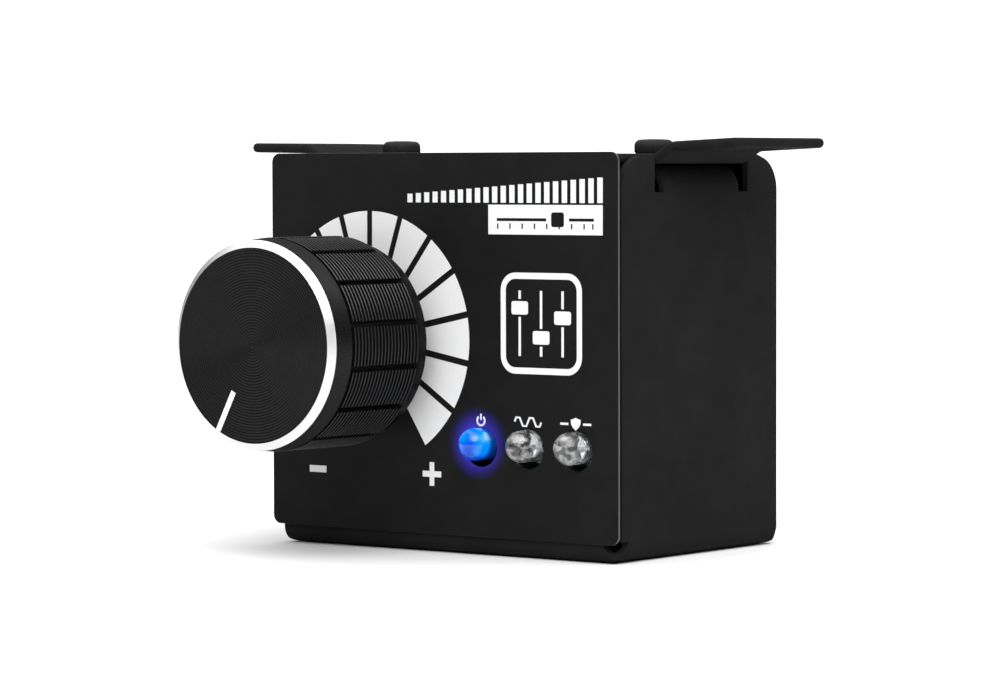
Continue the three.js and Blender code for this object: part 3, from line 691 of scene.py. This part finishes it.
def flap_outline(side):
    """A side wall from the side. The right one joins the front wall below the corner relief."""
    far = TRAY_HIGH.y + 1
    shoulder = FLAP_HALF_DEPTH - FLAP_TOP_RADIUS
    shoulder_z = TRAY_HIGH.z - FLAP_TOP_RADIUS
    heel = FLAP_HALF_DEPTH - FLAP_HEEL_RADIUS
    outline = (
        [(heel, -1)]
        + arc(heel, FLAP_HEEL_RADIUS, FLAP_HEEL_RADIUS, 270, 360, 10)
        + arc(shoulder, shoulder_z, FLAP_TOP_RADIUS, 0, 90, 14)
        + arc(-shoulder, shoulder_z, FLAP_TOP_RADIUS, 90, 180, 14)
    )
    if side > 0:
        return outline + [(-FLAP_HALF_DEPTH, RELIEF_TOP), (-far, RELIEF_TOP), (-far, -1)]
    return outline + arc(-heel, FLAP_HEEL_RADIUS, FLAP_HEEL_RADIUS, 180, 270, 10) + [(-heel, -1)]


def flap_waste(side):
    """What is missing around a side wall, its notch included."""
    inner = TRAY_HIGH.x - SHEET - 0.05
    outer = TRAY_HIGH.x + 1
    far = TRAY_HIGH.y + 1
    x0, x1 = sorted((side * inner, side * outer))
    zone = block(x0, x1, -far, far, -0.9, TRAY_HIGH.z + 1)
    cut(zone, prism(flap_outline(side), "x", x0 - 1, x1 + 1))
    notch_low = TAB_CENTRE - NOTCH_HALF_WIDTH
    notch_high = TAB_CENTRE + NOTCH_HALF_WIDTH
    notch = rounded_rectangle(notch_low, notch_high, NOTCH_FLOOR, TRAY_HIGH.z + 2, 0.25, 4)
    return join(zone, prism(notch, "x", x0, x1))


def corner_relief():
    """Half an egg, flat side up, where two bend lines meet at the right."""
    radius_x, radius_y, radius_z = RELIEF
    bm = bmesh.new()
    bmesh.ops.create_uvsphere(bm, u_segments=32, v_segments=20, radius=1.0)
    spot = Vector((TRAY_HIGH.x, TRAY_LOW.y, RELIEF_TOP)) * MM
    for vertex in bm.verts:
        height = min(vertex.co.z, 0.0)
        egg = Vector((vertex.co.x * radius_x, vertex.co.y * radius_y, height * radius_z))
        vertex.co = spot + egg * MM
    bmesh.ops.remove_doubles(bm, verts=bm.verts, dist=1e-9)
    return tidy(as_object(bm))


def cover_tab(side):
    middle = TRAY_HIGH.x - SHEET / 2
    level = COVER_UNDERSIDE + TOUCH - SHEET / 2
    corners = [(side * middle, NOTCH_FLOOR - 1), (side * middle, level), (side * TAB_REACH, level)]
    strip = strip_outline(bent_path(corners, TAB_BEND, 10), SHEET)
    tab = prism(strip, "y", TAB_CENTRE - TAB_HALF_WIDTH, TAB_CENTRE + TAB_HALF_WIDTH)
    screw_low, screw_high = box_mm("cover_screw_left")
    place = (side * (screw_high.x + screw_low.x) / -2, (screw_low.y + screw_high.y) / 2)
    return cut(tab, prism(circle(*place, 1.55, 24), "z", level - 2, level + 2))


def front_holes(bushing_air, lamp_air):
    """The potentiometer's hole and the three lamps' holes, in the front wall or plate."""
    holes = [circle(*AXIS, BUSHING_RADIUS + bushing_air)]
    for x, z in LAMPS.values():
        holes.append(circle(x, z - LAMP_HOLE_DROP, LAMP_HOLE_RADIUS + lamp_air))
    return holes


def make_tray():
    half_depth = TRAY_HIGH.y
    span = TRAY_HIGH.x - SHEET
    above = TRAY_HIGH.z + 1
    tray = cut(tray_block(0.0), tray_block(SHEET))
    cut(tray, block(-span, span, -half_depth - 1, -half_depth + 2, COVER_UNDERSIDE + TOUCH, above))
    cut(tray, block(-span, span, half_depth - 2, half_depth + 1, LIP_BOTTOM, above))
    cut(tray, flap_waste(-1), flap_waste(1), corner_relief())
    join(tray, cover_tab(-1), cover_tab(1))
    cut(tray, prisms(front_holes(0.1, 0.1), "y", -half_depth - 1, -half_depth + 2))
    jack_low, jack_high = box_mm("jack_housing")
    window = rounded_rectangle(
        jack_low.x - JACK_AIR, jack_high.x + JACK_AIR,
        jack_low.z - JACK_AIR, jack_high.z + JACK_AIR, 0.3, 4,
    )
    cut(tray, prism(window, "y", half_depth - 2, half_depth + 1))
    smooth(soften(tidy(tray), EDGE, 4))
    return piece(tray, "tray", "root", "powder_coat", ["shell_tray"])


# ---------------------------------------------------------------- cover and screws


def cover_plan():
    """The cover from above, ears included, with small fillets where they meet."""
    y0 = TAB_CENTRE - EAR_HALF_WIDTH
    y1 = TAB_CENTRE + EAR_HALF_WIDTH
    tip = COVER_HIGH.x
    edge = COVER_HALF_WIDTH
    far = COVER_HIGH.y + 1
    fillet = EAR_FILLET
    right = (
        [(edge, COVER_FRONT)]
        + arc(edge + fillet, y0 - fillet, fillet, 180, 90, 4)
        + arc(tip - EAR_CORNER, y0 + EAR_CORNER, EAR_CORNER, -90, 0, 10)
        + arc(tip - EAR_CORNER, y1 - EAR_CORNER, EAR_CORNER, 0, 90, 10)
        + arc(edge + fillet, y1 + fillet, fillet, 270, 180, 4)
        + [(edge, far)]
    )
    left = [(-x, y) for x, y in reversed(right)]
    return right + left


def make_cover():
    """One sheet: flat, joggled up into both ears, and rolled down at the rear."""
    level = COVER_UNDERSIDE + COVER_SHEET / 2
    raised = level + JOGGLE_RISE
    end = COVER_HIGH.x + 1
    corners = []
    for side in (-1, 1):
        tip = (side * end, raised + (end - JOGGLE_END) * math.tan(EAR_TILT[side]))
        corners += [tip, (side * JOGGLE_END, raised), (side * JOGGLE_START, level)][::-side]
    sheet = strip_outline(bent_path(corners, JOGGLE_BEND, 8), COVER_SHEET)
    flat_end = COVER_HIGH.y - LIP_RADIUS
    cover = prism(sheet, "y", COVER_FRONT - 1, flat_end)
    combine(cover, prism(cover_plan(), "z", COVER_UNDERSIDE - 3, COVER_HIGH.z + 3), "INTERSECT")
    holes = []
    screw_low, screw_high = box_mm("cover_screw_right")
    for side in (-1, 1):
        u = side * SLOT_X
        slot = rounded_rectangle(
            u - SLOT_WIDTH / 2, u + SLOT_WIDTH / 2,
            TAB_CENTRE - SLOT_LENGTH / 2, TAB_CENTRE + SLOT_LENGTH / 2, SLOT_WIDTH / 2 - 0.01, 12,
        )
        screw_x = side * (screw_low.x + screw_high.x) / 2
        holes += [slot, circle(screw_x, (screw_low.y + screw_high.y) / 2, 1.7, 24)]
    cut(cover, prisms(holes, "z", COVER_UNDERSIDE - 3, COVER_HIGH.z + 3))
    down = COVER_HIGH.y - COVER_SHEET / 2
    roll_corners = [(flat_end - 0.5, level), (down, level), (down, LIP_BOTTOM)]
    roll = strip_outline(bent_path(roll_corners, LIP_RADIUS - COVER_SHEET / 2, 14), COVER_SHEET)
    join(cover, prism(roll, "x", -COVER_HALF_WIDTH, COVER_HALF_WIDTH))
    smooth(soften(tidy(cover), COVER_EDGE, 4, clamp=False))
    return piece(cover, "cover_with_ears", "root", "powder_coat", ["top_cover"])


def pan_screw_profile(radius, crown, seat, shank, end):
    """A slightly domed pan head, then a shank with ring-shaped thread crests."""
    corner = 0.95
    flat = radius - corner
    profile = [(0, crown), (flat * 0.5, crown - 0.02)]
    profile += [(flat + u, crown - 0.08 - corner + v) for u, v in arc(0, 0, corner, 84, 0, 9)]
    profile += [(radius, seat + 0.3), (radius - 0.25, seat), (shank, seat)]
    pitch = 0.5
    z = seat - 1.3
    while z > end + 0.9:
        profile += [(shank, z), (shank - 0.2, z - pitch / 2)]
        z -= pitch
    return profile + [(shank - 0.1, end + 0.4), (shank - 0.45, end), (0, end)]


def cross_recess(x, y, crown, arm, depth):
    """Two crossed blades that narrow downwards."""
    tools = []
    web = arm * 0.24
    mouth = (arm, web)
    foot = (arm * 0.35, web * 0.5)
    for top, floor in ((mouth, foot), (mouth[::-1], foot[::-1])):
        bm = bmesh.new()
        rings = []
        for (half_x, half_y), z in ((top, crown + 0.4), (floor, crown - depth)):
            corners = rectangle(x - half_x, x + half_x, y - half_y, y + half_y)
            rings.append([bm.verts.new(Vector((u, v, z)) * MM) for u, v in corners])
        bm.faces.new(rings[0])
        bm.faces.new(rings[1][::-1])
        for i in range(4):
            j = (i + 1) % 4
            bm.faces.new((rings[0][j], rings[0][i], rings[1][i], rings[1][j]))
        tools.append(as_object(bm))
    return tools


def make_cover_screw(name):
    low, high = box_mm(f"cover_screw_{name}")
    x = (low.x + high.x) / 2
    y = (low.y + high.y) / 2
    seat = COVER_UNDERSIDE + COVER_SHEET + 0.02
    profile = pan_screw_profile((high.x - low.x) / 2, high.z, seat, SCREW_SHANK, low.z)
    screw = turned(profile, (x, y), 48, "z")
    cut(screw, *cross_recess(x, y, high.z, 1.7, 1.5))
    smooth(screw, 45)
    return piece(screw, f"screw_{name}", "root", "black_screw", [f"cover_screw_{name}"])


# ---------------------------------------------------------------- front plate and its print


def make_plate():
    sides = (PLATE_LOW.x, PLATE_HIGH.x, PLATE_LOW.z, PLATE_HIGH.z)
    outline = rounded_rectangle(*sides, PLATE_CORNER, 10)
    plate = prism(outline, "y", PLATE_LOW.y, PLATE_HIGH.y)
    cut(plate, prisms(front_holes(0.2, 0.0), "y", PLATE_LOW.y - 1, PLATE_HIGH.y + 1))
    smooth(soften(tidy(plate), 0.06, 2))
    piece(plate, "plate", "root", "printed_plate", ["front_plate"], [BARE_ALUMINIUM])
    for face in plate.data.polygons:
        face.material_index = 0 if face.normal.y < -0.9 else 1
    return plate


def clock(centre, radius, degrees):
    """A point at a clock angle, clockwise from straight up as seen from the front."""
    angle = math.radians(degrees)
    return centre[0] + radius * math.sin(angle), centre[1] + radius * math.cos(angle)


def dial_segment(centre, inner, outer, start, end, gap):
    """A block of the level scale between two clock angles, an even gap from its neighbours."""
    outline = []
    for radius, first, last in ((outer, start, end), (inner, end, start)):
        trim = math.degrees(math.asin(gap / 2 / radius)) * (1 if last > first else -1)
        span = (last - trim) - (first + trim)
        steps = max(2, round(abs(span) / 3))
        for k in range(steps + 1):
            outline.append(clock(centre, radius, first + trim + span * k / steps))
    return outline


def level_scale():
    """Blocks that grow from a sliver at the minus mark to the widest at the plus mark."""
    centre = (AXIS[0] - 0.05, AXIS[1] + 0.25)
    outlines = []
    end = SCALE_END
    for width in range(24, 4, -1):
        gap = 1.0 if width > 8 else 0.5
        outlines.append(dial_segment(centre, *SCALE_RADII, end - width, end, gap))
        end -= width
    return outlines


def stroke(points, width):
    return strip_outline([Vector(p) for p in points], width)


def ring_pieces(centre, radius, start, end, width):
    return stroke([clock(centre, radius, start + (end - start) * k / 24) for k in range(25)], width)


def level_ramp(x0, x1, z0, z1):
    """A row of bars that grow to the right."""
    bars = 23
    pitch = (x1 - x0) / (bars - 0.4)
    outlines = []
    for k in range(bars):
        height = (z1 - z0) * (0.35 + 0.65 * k / (bars - 1))
        outlines.append(rectangle(x0 + k * pitch, x0 + (k + 0.6) * pitch, z0, z0 + height))
    return outlines


def frame_pieces(x0, x1, z0, z1, radius, width):
    """The outline of a rounded square as two halves."""
    middle = (x0 + x1) / 2
    right = [(middle, z0)]
    right += arc(x1 - radius, z0 + radius, radius, -90, 0)
    right += arc(x1 - radius, z1 - radius, radius, 0, 90)
    right.append((middle, z1))
    left = [(2 * middle - x, z) for x, z in right]
    return [stroke(right, width), stroke(left, width)]


def fader(x, z0, z1, knob_z):
    """A thin track with a wide cap, seen from the front."""
    cap = 1.0
    return [
        rectangle(x - 0.22, x + 0.22, z0, knob_z - cap - 0.35),
        rectangle(x - 0.22, x + 0.22, knob_z + cap + 0.35, z1),
        rounded_rectangle(x - 1.55, x + 1.55, knob_z - cap, knob_z + cap, 0.35, 4),
    ]


def power_mark(x, z):
    return [
        ring_pieces((x, z - 0.1), 0.72, 38, 322, 0.32),
        rectangle(x - 0.16, x + 0.16, z, z + 0.95),
    ]


def clipped_wave(x, z):
    """Two periods of a wave with its crests cut off flat."""
    half = 0.62
    period = ((0.3, half), (0.95, half), (1.55, -half), (2.2, -half), (2.5, 0))
    points = [(-2.5, 0)]
    for start in (-2.5, 0.0):
        points += [(start + u, v) for u, v in period]
    return [stroke([(x + u, z + v) for u, v in points], 0.34)]


def shield(x, z):
    """A shield between two short bars."""
    half = [(0, 0.95), (0.55, 0.72), (0.9, 0.68), (0.86, 0.0), (0.55, -0.5), (0, -0.95)]
    outline = [(x - u, z + v) for u, v in half] + [(x + u, z + v) for u, v in reversed(half[1:-1])]
    bars = []
    for side in (-1, 1):
        middle = x + side * 2.1
        bars.append(rectangle(middle - 0.75, middle + 0.75, z - 0.17, z + 0.17))
    return [outline] + bars


def minus_mark():
    return [rectangle(-26.0, -22.6, 11.25, 12.3)]


def plus_mark():
    """A cross bar with an arm above and an arm below it."""
    return [
        rectangle(-3.4, 0.2, 11.5, 12.4),
        rectangle(-2.05, -1.15, 12.4, 13.75),
        rectangle(-2.05, -1.15, 10.15, 11.5),
    ]


def slider_label(y0, y1):
    """A solid white label with a slider and its tick marks left dark."""
    label = prism(rectangle(9.4, 30.7, 48.55, 53.0), "y", y0, y1)
    dark = [rectangle(11.0, 20.3, 50.55, 51.0), rectangle(24.5, 29.1, 50.55, 51.0)]
    ticks = (11.2, 13.5, 15.8, 18.1, 20.4, 22.7, 25.0, 27.3, 28.9)
    dark += [rectangle(x - 0.14, x + 0.14, 49.4, 50.2) for x in ticks]
    dark.append(rounded_rectangle(21.2, 23.6, 49.7, 51.9, 0.4, 4))
    for outline in dark:
        cut(label, prism(outline, "y", PLATE_LOW.y - 1, PLATE_LOW.y + 1))
    return label


def make_print():
    """All the white print on the front plate, a thin layer of ink."""
    legend_z = 20.55
    outlines = level_scale() + level_ramp(-6.2, 30.7, 53.3, 57.05)
    outlines += minus_mark() + plus_mark()
    outlines += frame_pieces(12.2, 26.4, 28.2, 42.4, 2.2, 0.95)
    for x, knob_z in ((15.3, 37.6), (19.3, 33.2), (23.3, 36.2)):
        outlines += fader(x, 30.4, 40.2, knob_z)
    outlines += power_mark(LAMPS["on"][0], legend_z)
    outlines += clipped_wave(LAMPS["clip"][0], legend_z)
    outlines += shield(LAMPS["protect"][0], legend_z)
    depth = (PLATE_LOW.y - INK, PLATE_LOW.y + 0.01)
    ink = prisms(outlines, "y", *depth)
    label = slider_label(*depth)
    bm = bmesh.new()
    bm.from_mesh(ink.data)
    bm.from_mesh(label.data)
    bpy.data.objects.remove(label)
    bm.to_mesh(ink.data)
    bm.free()
    return piece(ink, "plate_print", "root", "white_print")


# ---------------------------------------------------------------- knob


def knob_columns():
    """Angles round the knob with how far each lies in a grip slot, 0 to 1."""
    columns = []
    sector = 360 / KNOB_SLOTS
    for k in range(KNOB_SLOTS):
        middle = sector * (k + 0.75)
        columns += [(middle - 1.75, 0), (middle - 1.5, 0.85), (middle - 1.3, 1), (middle + 1.3, 1)]
        columns += [(middle + 1.5, 0.85), (middle + 1.75, 0)]
        columns += [(middle + 1.75 + (sector - 3.5) * j / 7, 0) for j in range(1, 7)]
    return columns


def knob_rings():
    """The knob's section, from the middle of its bore round to the middle of its face.

    Each ring is (radius, y, whether the grip's slots cut into it).
    """
    rings = []

    def plain(*places):
        rings.extend((radius, y, False) for radius, y in places)

    def slotted(*places):
        rings.extend((radius, y, True) for radius, y in places)

    rear = KNOB_REAR
    grip_rear, grip_front = KNOB_GRIP
    band_rear, band_front = KNOB_BAND
    radius = KNOB_REAR_RADIUS
    grip = KNOB_GRIP_RADIUS
    band_wide, band_narrow = KNOB_BAND_RADIUS
    face = KNOB_LOW.y
    plain((0, face + KNOB_CAP), (KNOB_BORE, face + KNOB_CAP), (KNOB_BORE, rear - 0.3))
    plain((KNOB_BORE + 0.3, rear), (radius - 0.35, rear), (radius - 0.1, rear - 0.1))
    plain((radius, rear - 0.35), (radius, grip_rear + 0.05))
    slotted((radius, grip_rear))
    pitch = (grip_rear - grip_front) / KNOB_GROOVES
    for k in range(KNOB_GROOVES):
        y = grip_rear - k * pitch
        slotted((grip - 0.36, y - 0.02), (grip - 0.36, y - 0.38), (grip - 0.06, y - 0.52))
        slotted((grip, y - 0.57), (grip, y - 0.7), (grip - 0.06, y - 0.76))
    slotted((grip - 0.2, grip_front + 0.02), (radius, grip_front))
    plain((radius, grip_front - 0.05), (radius, band_rear + 0.02))
    plain((band_wide - 0.12, band_rear), (band_wide, band_rear - 0.12))
    fine = (band_rear - 0.15 - band_front) / BAND_LINES
    for k in range(1, BAND_LINES):
        y = band_rear - 0.15 - k * fine
        band = band_wide + (band_narrow - band_wide) * k / BAND_LINES
        plain((band, y + 0.07), (band - 0.05, y), (band, y - 0.07))
    plain((band_narrow, band_front), (KNOB_FACE_RADIUS, face))
    step = 0.43
    for k in range(FACE_RINGS):
        r = KNOB_FACE_RADIUS - 0.12 - k * step
        plain((r, face), (r - step * 0.45, face + 0.07), (r - step * 0.8, face + 0.015))
    plain((0, face + 0.02))
    return rings


def make_knob():
    columns = knob_columns()
    bm = bmesh.new()
    grid = []
    for radius, y, slotted in knob_rings():
        if radius == 0:
            grid.append([bm.verts.new(Vector((AXIS[0], y, AXIS[1])) * MM)])
            continue
        ring = []
        for degrees, depth in columns:
            r = radius - (radius - KNOB_REAR_RADIUS) * depth if slotted else radius
            x, z = clock(AXIS, r, degrees + 180)
            ring.append(bm.verts.new(Vector((x, y, z)) * MM))
        grid.append(ring)
    for a, b in zip(grid, grid[1:]):
        bridge(bm, a, b)
    knob = as_object(bm)
    knob.data.shade_smooth()
    knob.data.set_sharp_from_angle(angle=math.radians(35))
    piece(knob, "knob", "knob", "anodised_knob", ["knob_shell"], [BRIGHT_CUT, PAINTED_CREST_HIGHLIGHT])
    for face in knob.data.polygons:
        middle = face.center / MM
        reach = math.hypot(middle.x - AXIS[0], middle.z - AXIS[1])
        if middle.y < KNOB_BAND[1]:
            face.material_index = 1 if reach > KNOB_FACE_RADIUS + 0.05 else 0
        elif KNOB_GRIP[1] < middle.y < KNOB_GRIP[0]:
            # faces on the grip's crests take the painted highlight finish
            face.material_index = 2 if reach > KNOB_GRIP_RADIUS - 0.04 else 0
    return knob


def make_pointer():
    """The white line in the knob's face, somewhat past straight down."""
    half = POINTER_HALF_WIDTH
    inner = POINTER_INNER
    outer = KNOB_FACE_RADIUS - 0.02
    turn = math.radians(POINTER_TURN)
    outline = []
    for across, along in rectangle(-half, half, inner, outer):
        foot = clock(AXIS, along, 180 + POINTER_TURN)
        outline.append((foot[0] + across * math.cos(turn), foot[1] - across * math.sin(turn)))
    pointer = prism(outline, "y", KNOB_LOW.y - 0.02, KNOB_LOW.y + 0.35)
    soften(pointer, 0.03, 2)
    return piece(pointer, "pointer", "knob", "white_print", ["knob_pointer"])


# ---------------------------------------------------------------- potentiometer's nut and bushing


def make_nut():
    low, high = box_mm("pot_nut")
    across = (high.z - low.z) / 2
    corner = across / math.cos(math.radians(30))
    hexagon = [clock(AXIS, corner, 30 + 60 * k) for k in range(6)]
    nut = prism(hexagon, "y", low.y, high.y)
    cone = [(0, low.y - 0.01), (across * 0.96, low.y - 0.01), (corner + 0.05, low.y + 0.55)]
    cone += [(corner + 0.05, high.y - 0.55), (across * 0.96, high.y + 0.01), (0, high.y + 0.01)]
    combine(nut, turned(cone, AXIS, 64), "INTERSECT")
    bore = rectangle(0, BUSHING_RADIUS + 0.2, low.y - 1, high.y + 1)
    cut(nut, turned(bore, AXIS, 48))
    smooth(soften(tidy(nut), 0.08, 2, 25))
    return piece(nut, "nut", "root", "plated_steel", ["pot_nut"])


def make_bushing():
    low, high = box_mm("pot_bushing")
    bore = 3.08
    radius = (high.x - low.x) / 2
    root = radius - 0.32
    profile = [(bore, low.y + 0.2), (bore + 0.15, low.y)]
    profile += [(radius - 0.3, low.y), (radius - 0.2, low.y + 0.15)]
    pitch = 0.75
    y = low.y + 0.3
    while y < high.y - 1.2:
        profile += [(radius, y), (radius, y + 0.12)]
        profile += [(root, y + pitch * 0.55), (root, y + pitch * 0.68)]
        y += pitch
    profile += [(radius, high.y - 0.7), (radius, high.y), (bore, high.y)]
    bushing = smooth(turned(profile, AXIS, 64, closed=True))
    return piece(bushing, "bushing", "root", "plated_steel", ["pot_bushing"])


# ---------------------------------------------------------------- lamps


def make_lens(name):
    """The clear epoxy of a 5 mm lamp: a flange, a barrel and a dome."""
    neck = LAMP_BASE - 1.0
    middle = LAMP_TIP + LAMP_RADIUS
    profile = [(0, LAMP_BASE), (LAMP_FLANGE - 0.1, LAMP_BASE), (LAMP_FLANGE, LAMP_BASE - 0.1)]
    profile += [(LAMP_FLANGE, neck + 0.12), (LAMP_FLANGE - 0.12, neck)]
    profile += [(LAMP_RADIUS + 0.1, neck), (LAMP_RADIUS, neck - 0.1), (LAMP_RADIUS, middle)]
    for k in range(1, 16):
        angle = math.radians(6 * k)
        profile.append((LAMP_RADIUS * math.cos(angle), middle - LAMP_RADIUS * math.sin(angle)))
    profile[-1] = (0, LAMP_TIP)
    lens = turned(profile, LAMPS[name], 48)
    lens.data.shade_smooth()
    lens.data.set_sharp_from_angle(angle=math.radians(40))
    slot = "lit_lens" if name == "on" else "clear_lens"
    return piece(lens, f"lens_{name}", "root", slot, [f"lamp_{name}_lens"])


def make_frames(name):
    """The two sheet frames in a lamp, with the cup that ends the broader one."""
    x, z = LAMPS[name]
    base = LAMP_BASE
    half = LAMP_SHEET / 2
    cathode_low, cathode_high = box_mm(f"lamp_{name}_cathode")
    anode_low = box_mm(f"lamp_{name}_anode")[0]
    left = cathode_low.x + LAMP_LEG
    right = 2 * x - left
    tail = cathode_high.y
    anvil = [
        (left - half, tail), (left + half, tail), (left + half, base - 0.9),
        (x + 0.35, base - 1.9), (x + 0.7, base - 3.1), (x - 0.8, base - 3.1),
        (left - 0.45, base - 2.2), (left - half, base - 0.9),
    ]
    post = [
        (right - half, tail), (right + half, tail), (right + half, base - 1.0),
        (right + 0.4, base - 2.6), (right + 0.2, anode_low.y), (right - 0.25, anode_low.y),
        (right - 0.5, base - 2.4), (right - half, base - 1.0),
    ]
    cup = [(0, base - 3.0), (0.8, base - 3.0), (0.95, base - 4.0), (0.85, cathode_low.y)]
    cup += [(0.75, cathode_low.y), (0.42, cathode_low.y + CUP_DEPTH)]
    cup.append((0, cathode_low.y + CUP_DEPTH))
    bm = bmesh.new()
    add_prism(bm, anvil, "z", z - half, z + half)
    add_prism(bm, post, "z", z - half, z + half)
    add_turned(bm, cup, (x, z), 32)
    frames = as_object(bm)
    smooth(soften(frames, 0.05, 2))
    nodes = [f"lamp_{name}_cathode", f"lamp_{name}_anode"]
    return piece(frames, f"frames_{name}", "root", "tinned_lead", nodes)


def make_chip(name):
    """The chip in a lamp's cup and the bond wire that arches over to the post."""
    x, z = LAMPS[name]
    cathode_low = box_mm(f"lamp_{name}_cathode")[0]
    anode_low = box_mm(f"lamp_{name}_anode")[0]
    right = 2 * x - (cathode_low.x + LAMP_LEG)
    floor = cathode_low.y + CUP_DEPTH
    bm = bmesh.new()
    square = rectangle(x - 0.17, x + 0.17, z - 0.17, z + 0.17)
    add_prism(bm, square, "y", floor - CHIP_HEIGHT, floor + 0.01)
    wire = []
    for k in range(13):
        t = k / 12
        along = floor - CHIP_HEIGHT + (anode_low.y - floor + CHIP_HEIGHT) * t
        wire.append(Vector((x + (right - x) * t, along - 0.75 * math.sin(math.pi * t))))
    add_prism(bm, strip_outline(wire, 0.06), "z", z - 0.03, z + 0.03)
    return piece(as_object(bm), f"chip_{name}", "root", "tinned_lead")


make_tray()
make_cover()
for screw_name in ("left", "right"):
    make_cover_screw(screw_name)
make_plate()
make_print()
make_knob()
make_pointer()
make_nut()
make_bushing()
for lamp_name in LAMPS:
    make_lens(lamp_name)
    make_frames(lamp_name)
    make_chip(lamp_name)


# ---------------------------------------------------------------- finishes of the CAD nodes

for row in frame["record"]["subparts"]:
    node = frame["nodes"][row["node"]]
    node.data.materials.clear()
    node.data.materials.append(FINISHES[row["material_slot"]])


# ---------------------------------------------------------------- studio

WALL_GLOW = 0.05
OVERHEAD = 2.0
KEY = 1.9
KEY_FROM = (0.42, -0.55, 0.72)
KEY_WIDTH = math.radians(45)
BACKDROP = 1.3
BACKDROP_TOWARD = (-0.611, 0.791, 0.0)
FLOOR_RADIUS = 3000

CAMERA_PLACE = (380.1, -499.5, 58.35)
CAMERA_TURN = (math.radians(90 - 2.579), math.radians(0.14), math.radians(37.679))
CAMERA_LENS = 144.7


def make_floor():
    disc = [(0, -0.1), (FLOOR_RADIUS, -0.1), (FLOOR_RADIUS, -20), (0, -20)]
    floor = turned(disc, (0, 0), 96, "z")
    floor.name = "floor"
    floor.data.materials.append(STUDIO_PAPER)


def make_world():
    """Soft light from overhead, a white backdrop behind the object and dim walls all round."""
    world = bpy.data.worlds.new("studio")
    world.use_nodes = True
    tree = world.node_tree

    def node(kind, **settings):
        made = tree.nodes.new(kind)
        for key, value in settings.items():
            setattr(made, key, value)
        return made

    def ramp(source, start, end, low, high):
        made = node("ShaderNodeMapRange", interpolation_type="SMOOTHSTEP")
        values = {"From Min": start, "From Max": end, "To Min": low, "To Max": high}
        for key, value in values.items():
            made.inputs[key].default_value = value
        tree.links.new(source, made.inputs["Value"])
        return made.outputs["Result"]

    direction = node("ShaderNodeTexCoord").outputs["Generated"]
    parts = node("ShaderNodeSeparateXYZ")
    tree.links.new(direction, parts.inputs["Vector"])
    away = node("ShaderNodeVectorMath", operation="DOT_PRODUCT")
    away.inputs[1].default_value = BACKDROP_TOWARD
    tree.links.new(direction, away.inputs[0])
    total = node("ShaderNodeMath", operation="ADD")
    tree.links.new(ramp(parts.outputs["Z"], 0.3, 0.8, WALL_GLOW, OVERHEAD), total.inputs[0])
    tree.links.new(ramp(away.outputs["Value"], 0.85, 0.96, 0.0, BACKDROP), total.inputs[1])
    tree.links.new(total.outputs["Value"], tree.nodes["Background"].inputs["Strength"])
    tree.nodes["Background"].inputs["Color"].default_value = (1, 1, 1, 1)
    bpy.context.scene.world = world


def make_sun():
    data = bpy.data.lights.new("key", "SUN")
    data.energy = KEY
    data.angle = KEY_WIDTH
    key = bpy.data.objects.new("key", data)
    key.rotation_euler = Vector(KEY_FROM).to_track_quat("Z", "Y").to_euler()
    bpy.context.scene.collection.objects.link(key)


def make_camera():
    """A long lens level with the cover, 37.7 degrees to the right of the front plate's normal."""
    data = bpy.data.cameras.new("camera")
    data.sensor_width = 36
    data.lens = CAMERA_LENS
    data.clip_start = 0.01
    data.clip_end = 20
    camera = bpy.data.objects.new("camera", data)
    camera.location = Vector(CAMERA_PLACE) * MM
    camera.rotation_euler = CAMERA_TURN
    bpy.context.scene.collection.objects.link(camera)
    bpy.context.scene.camera = camera


make_camera()
make_floor()
make_world()
make_sun()
bpy.context.scene.view_settings.view_transform = "Standard"
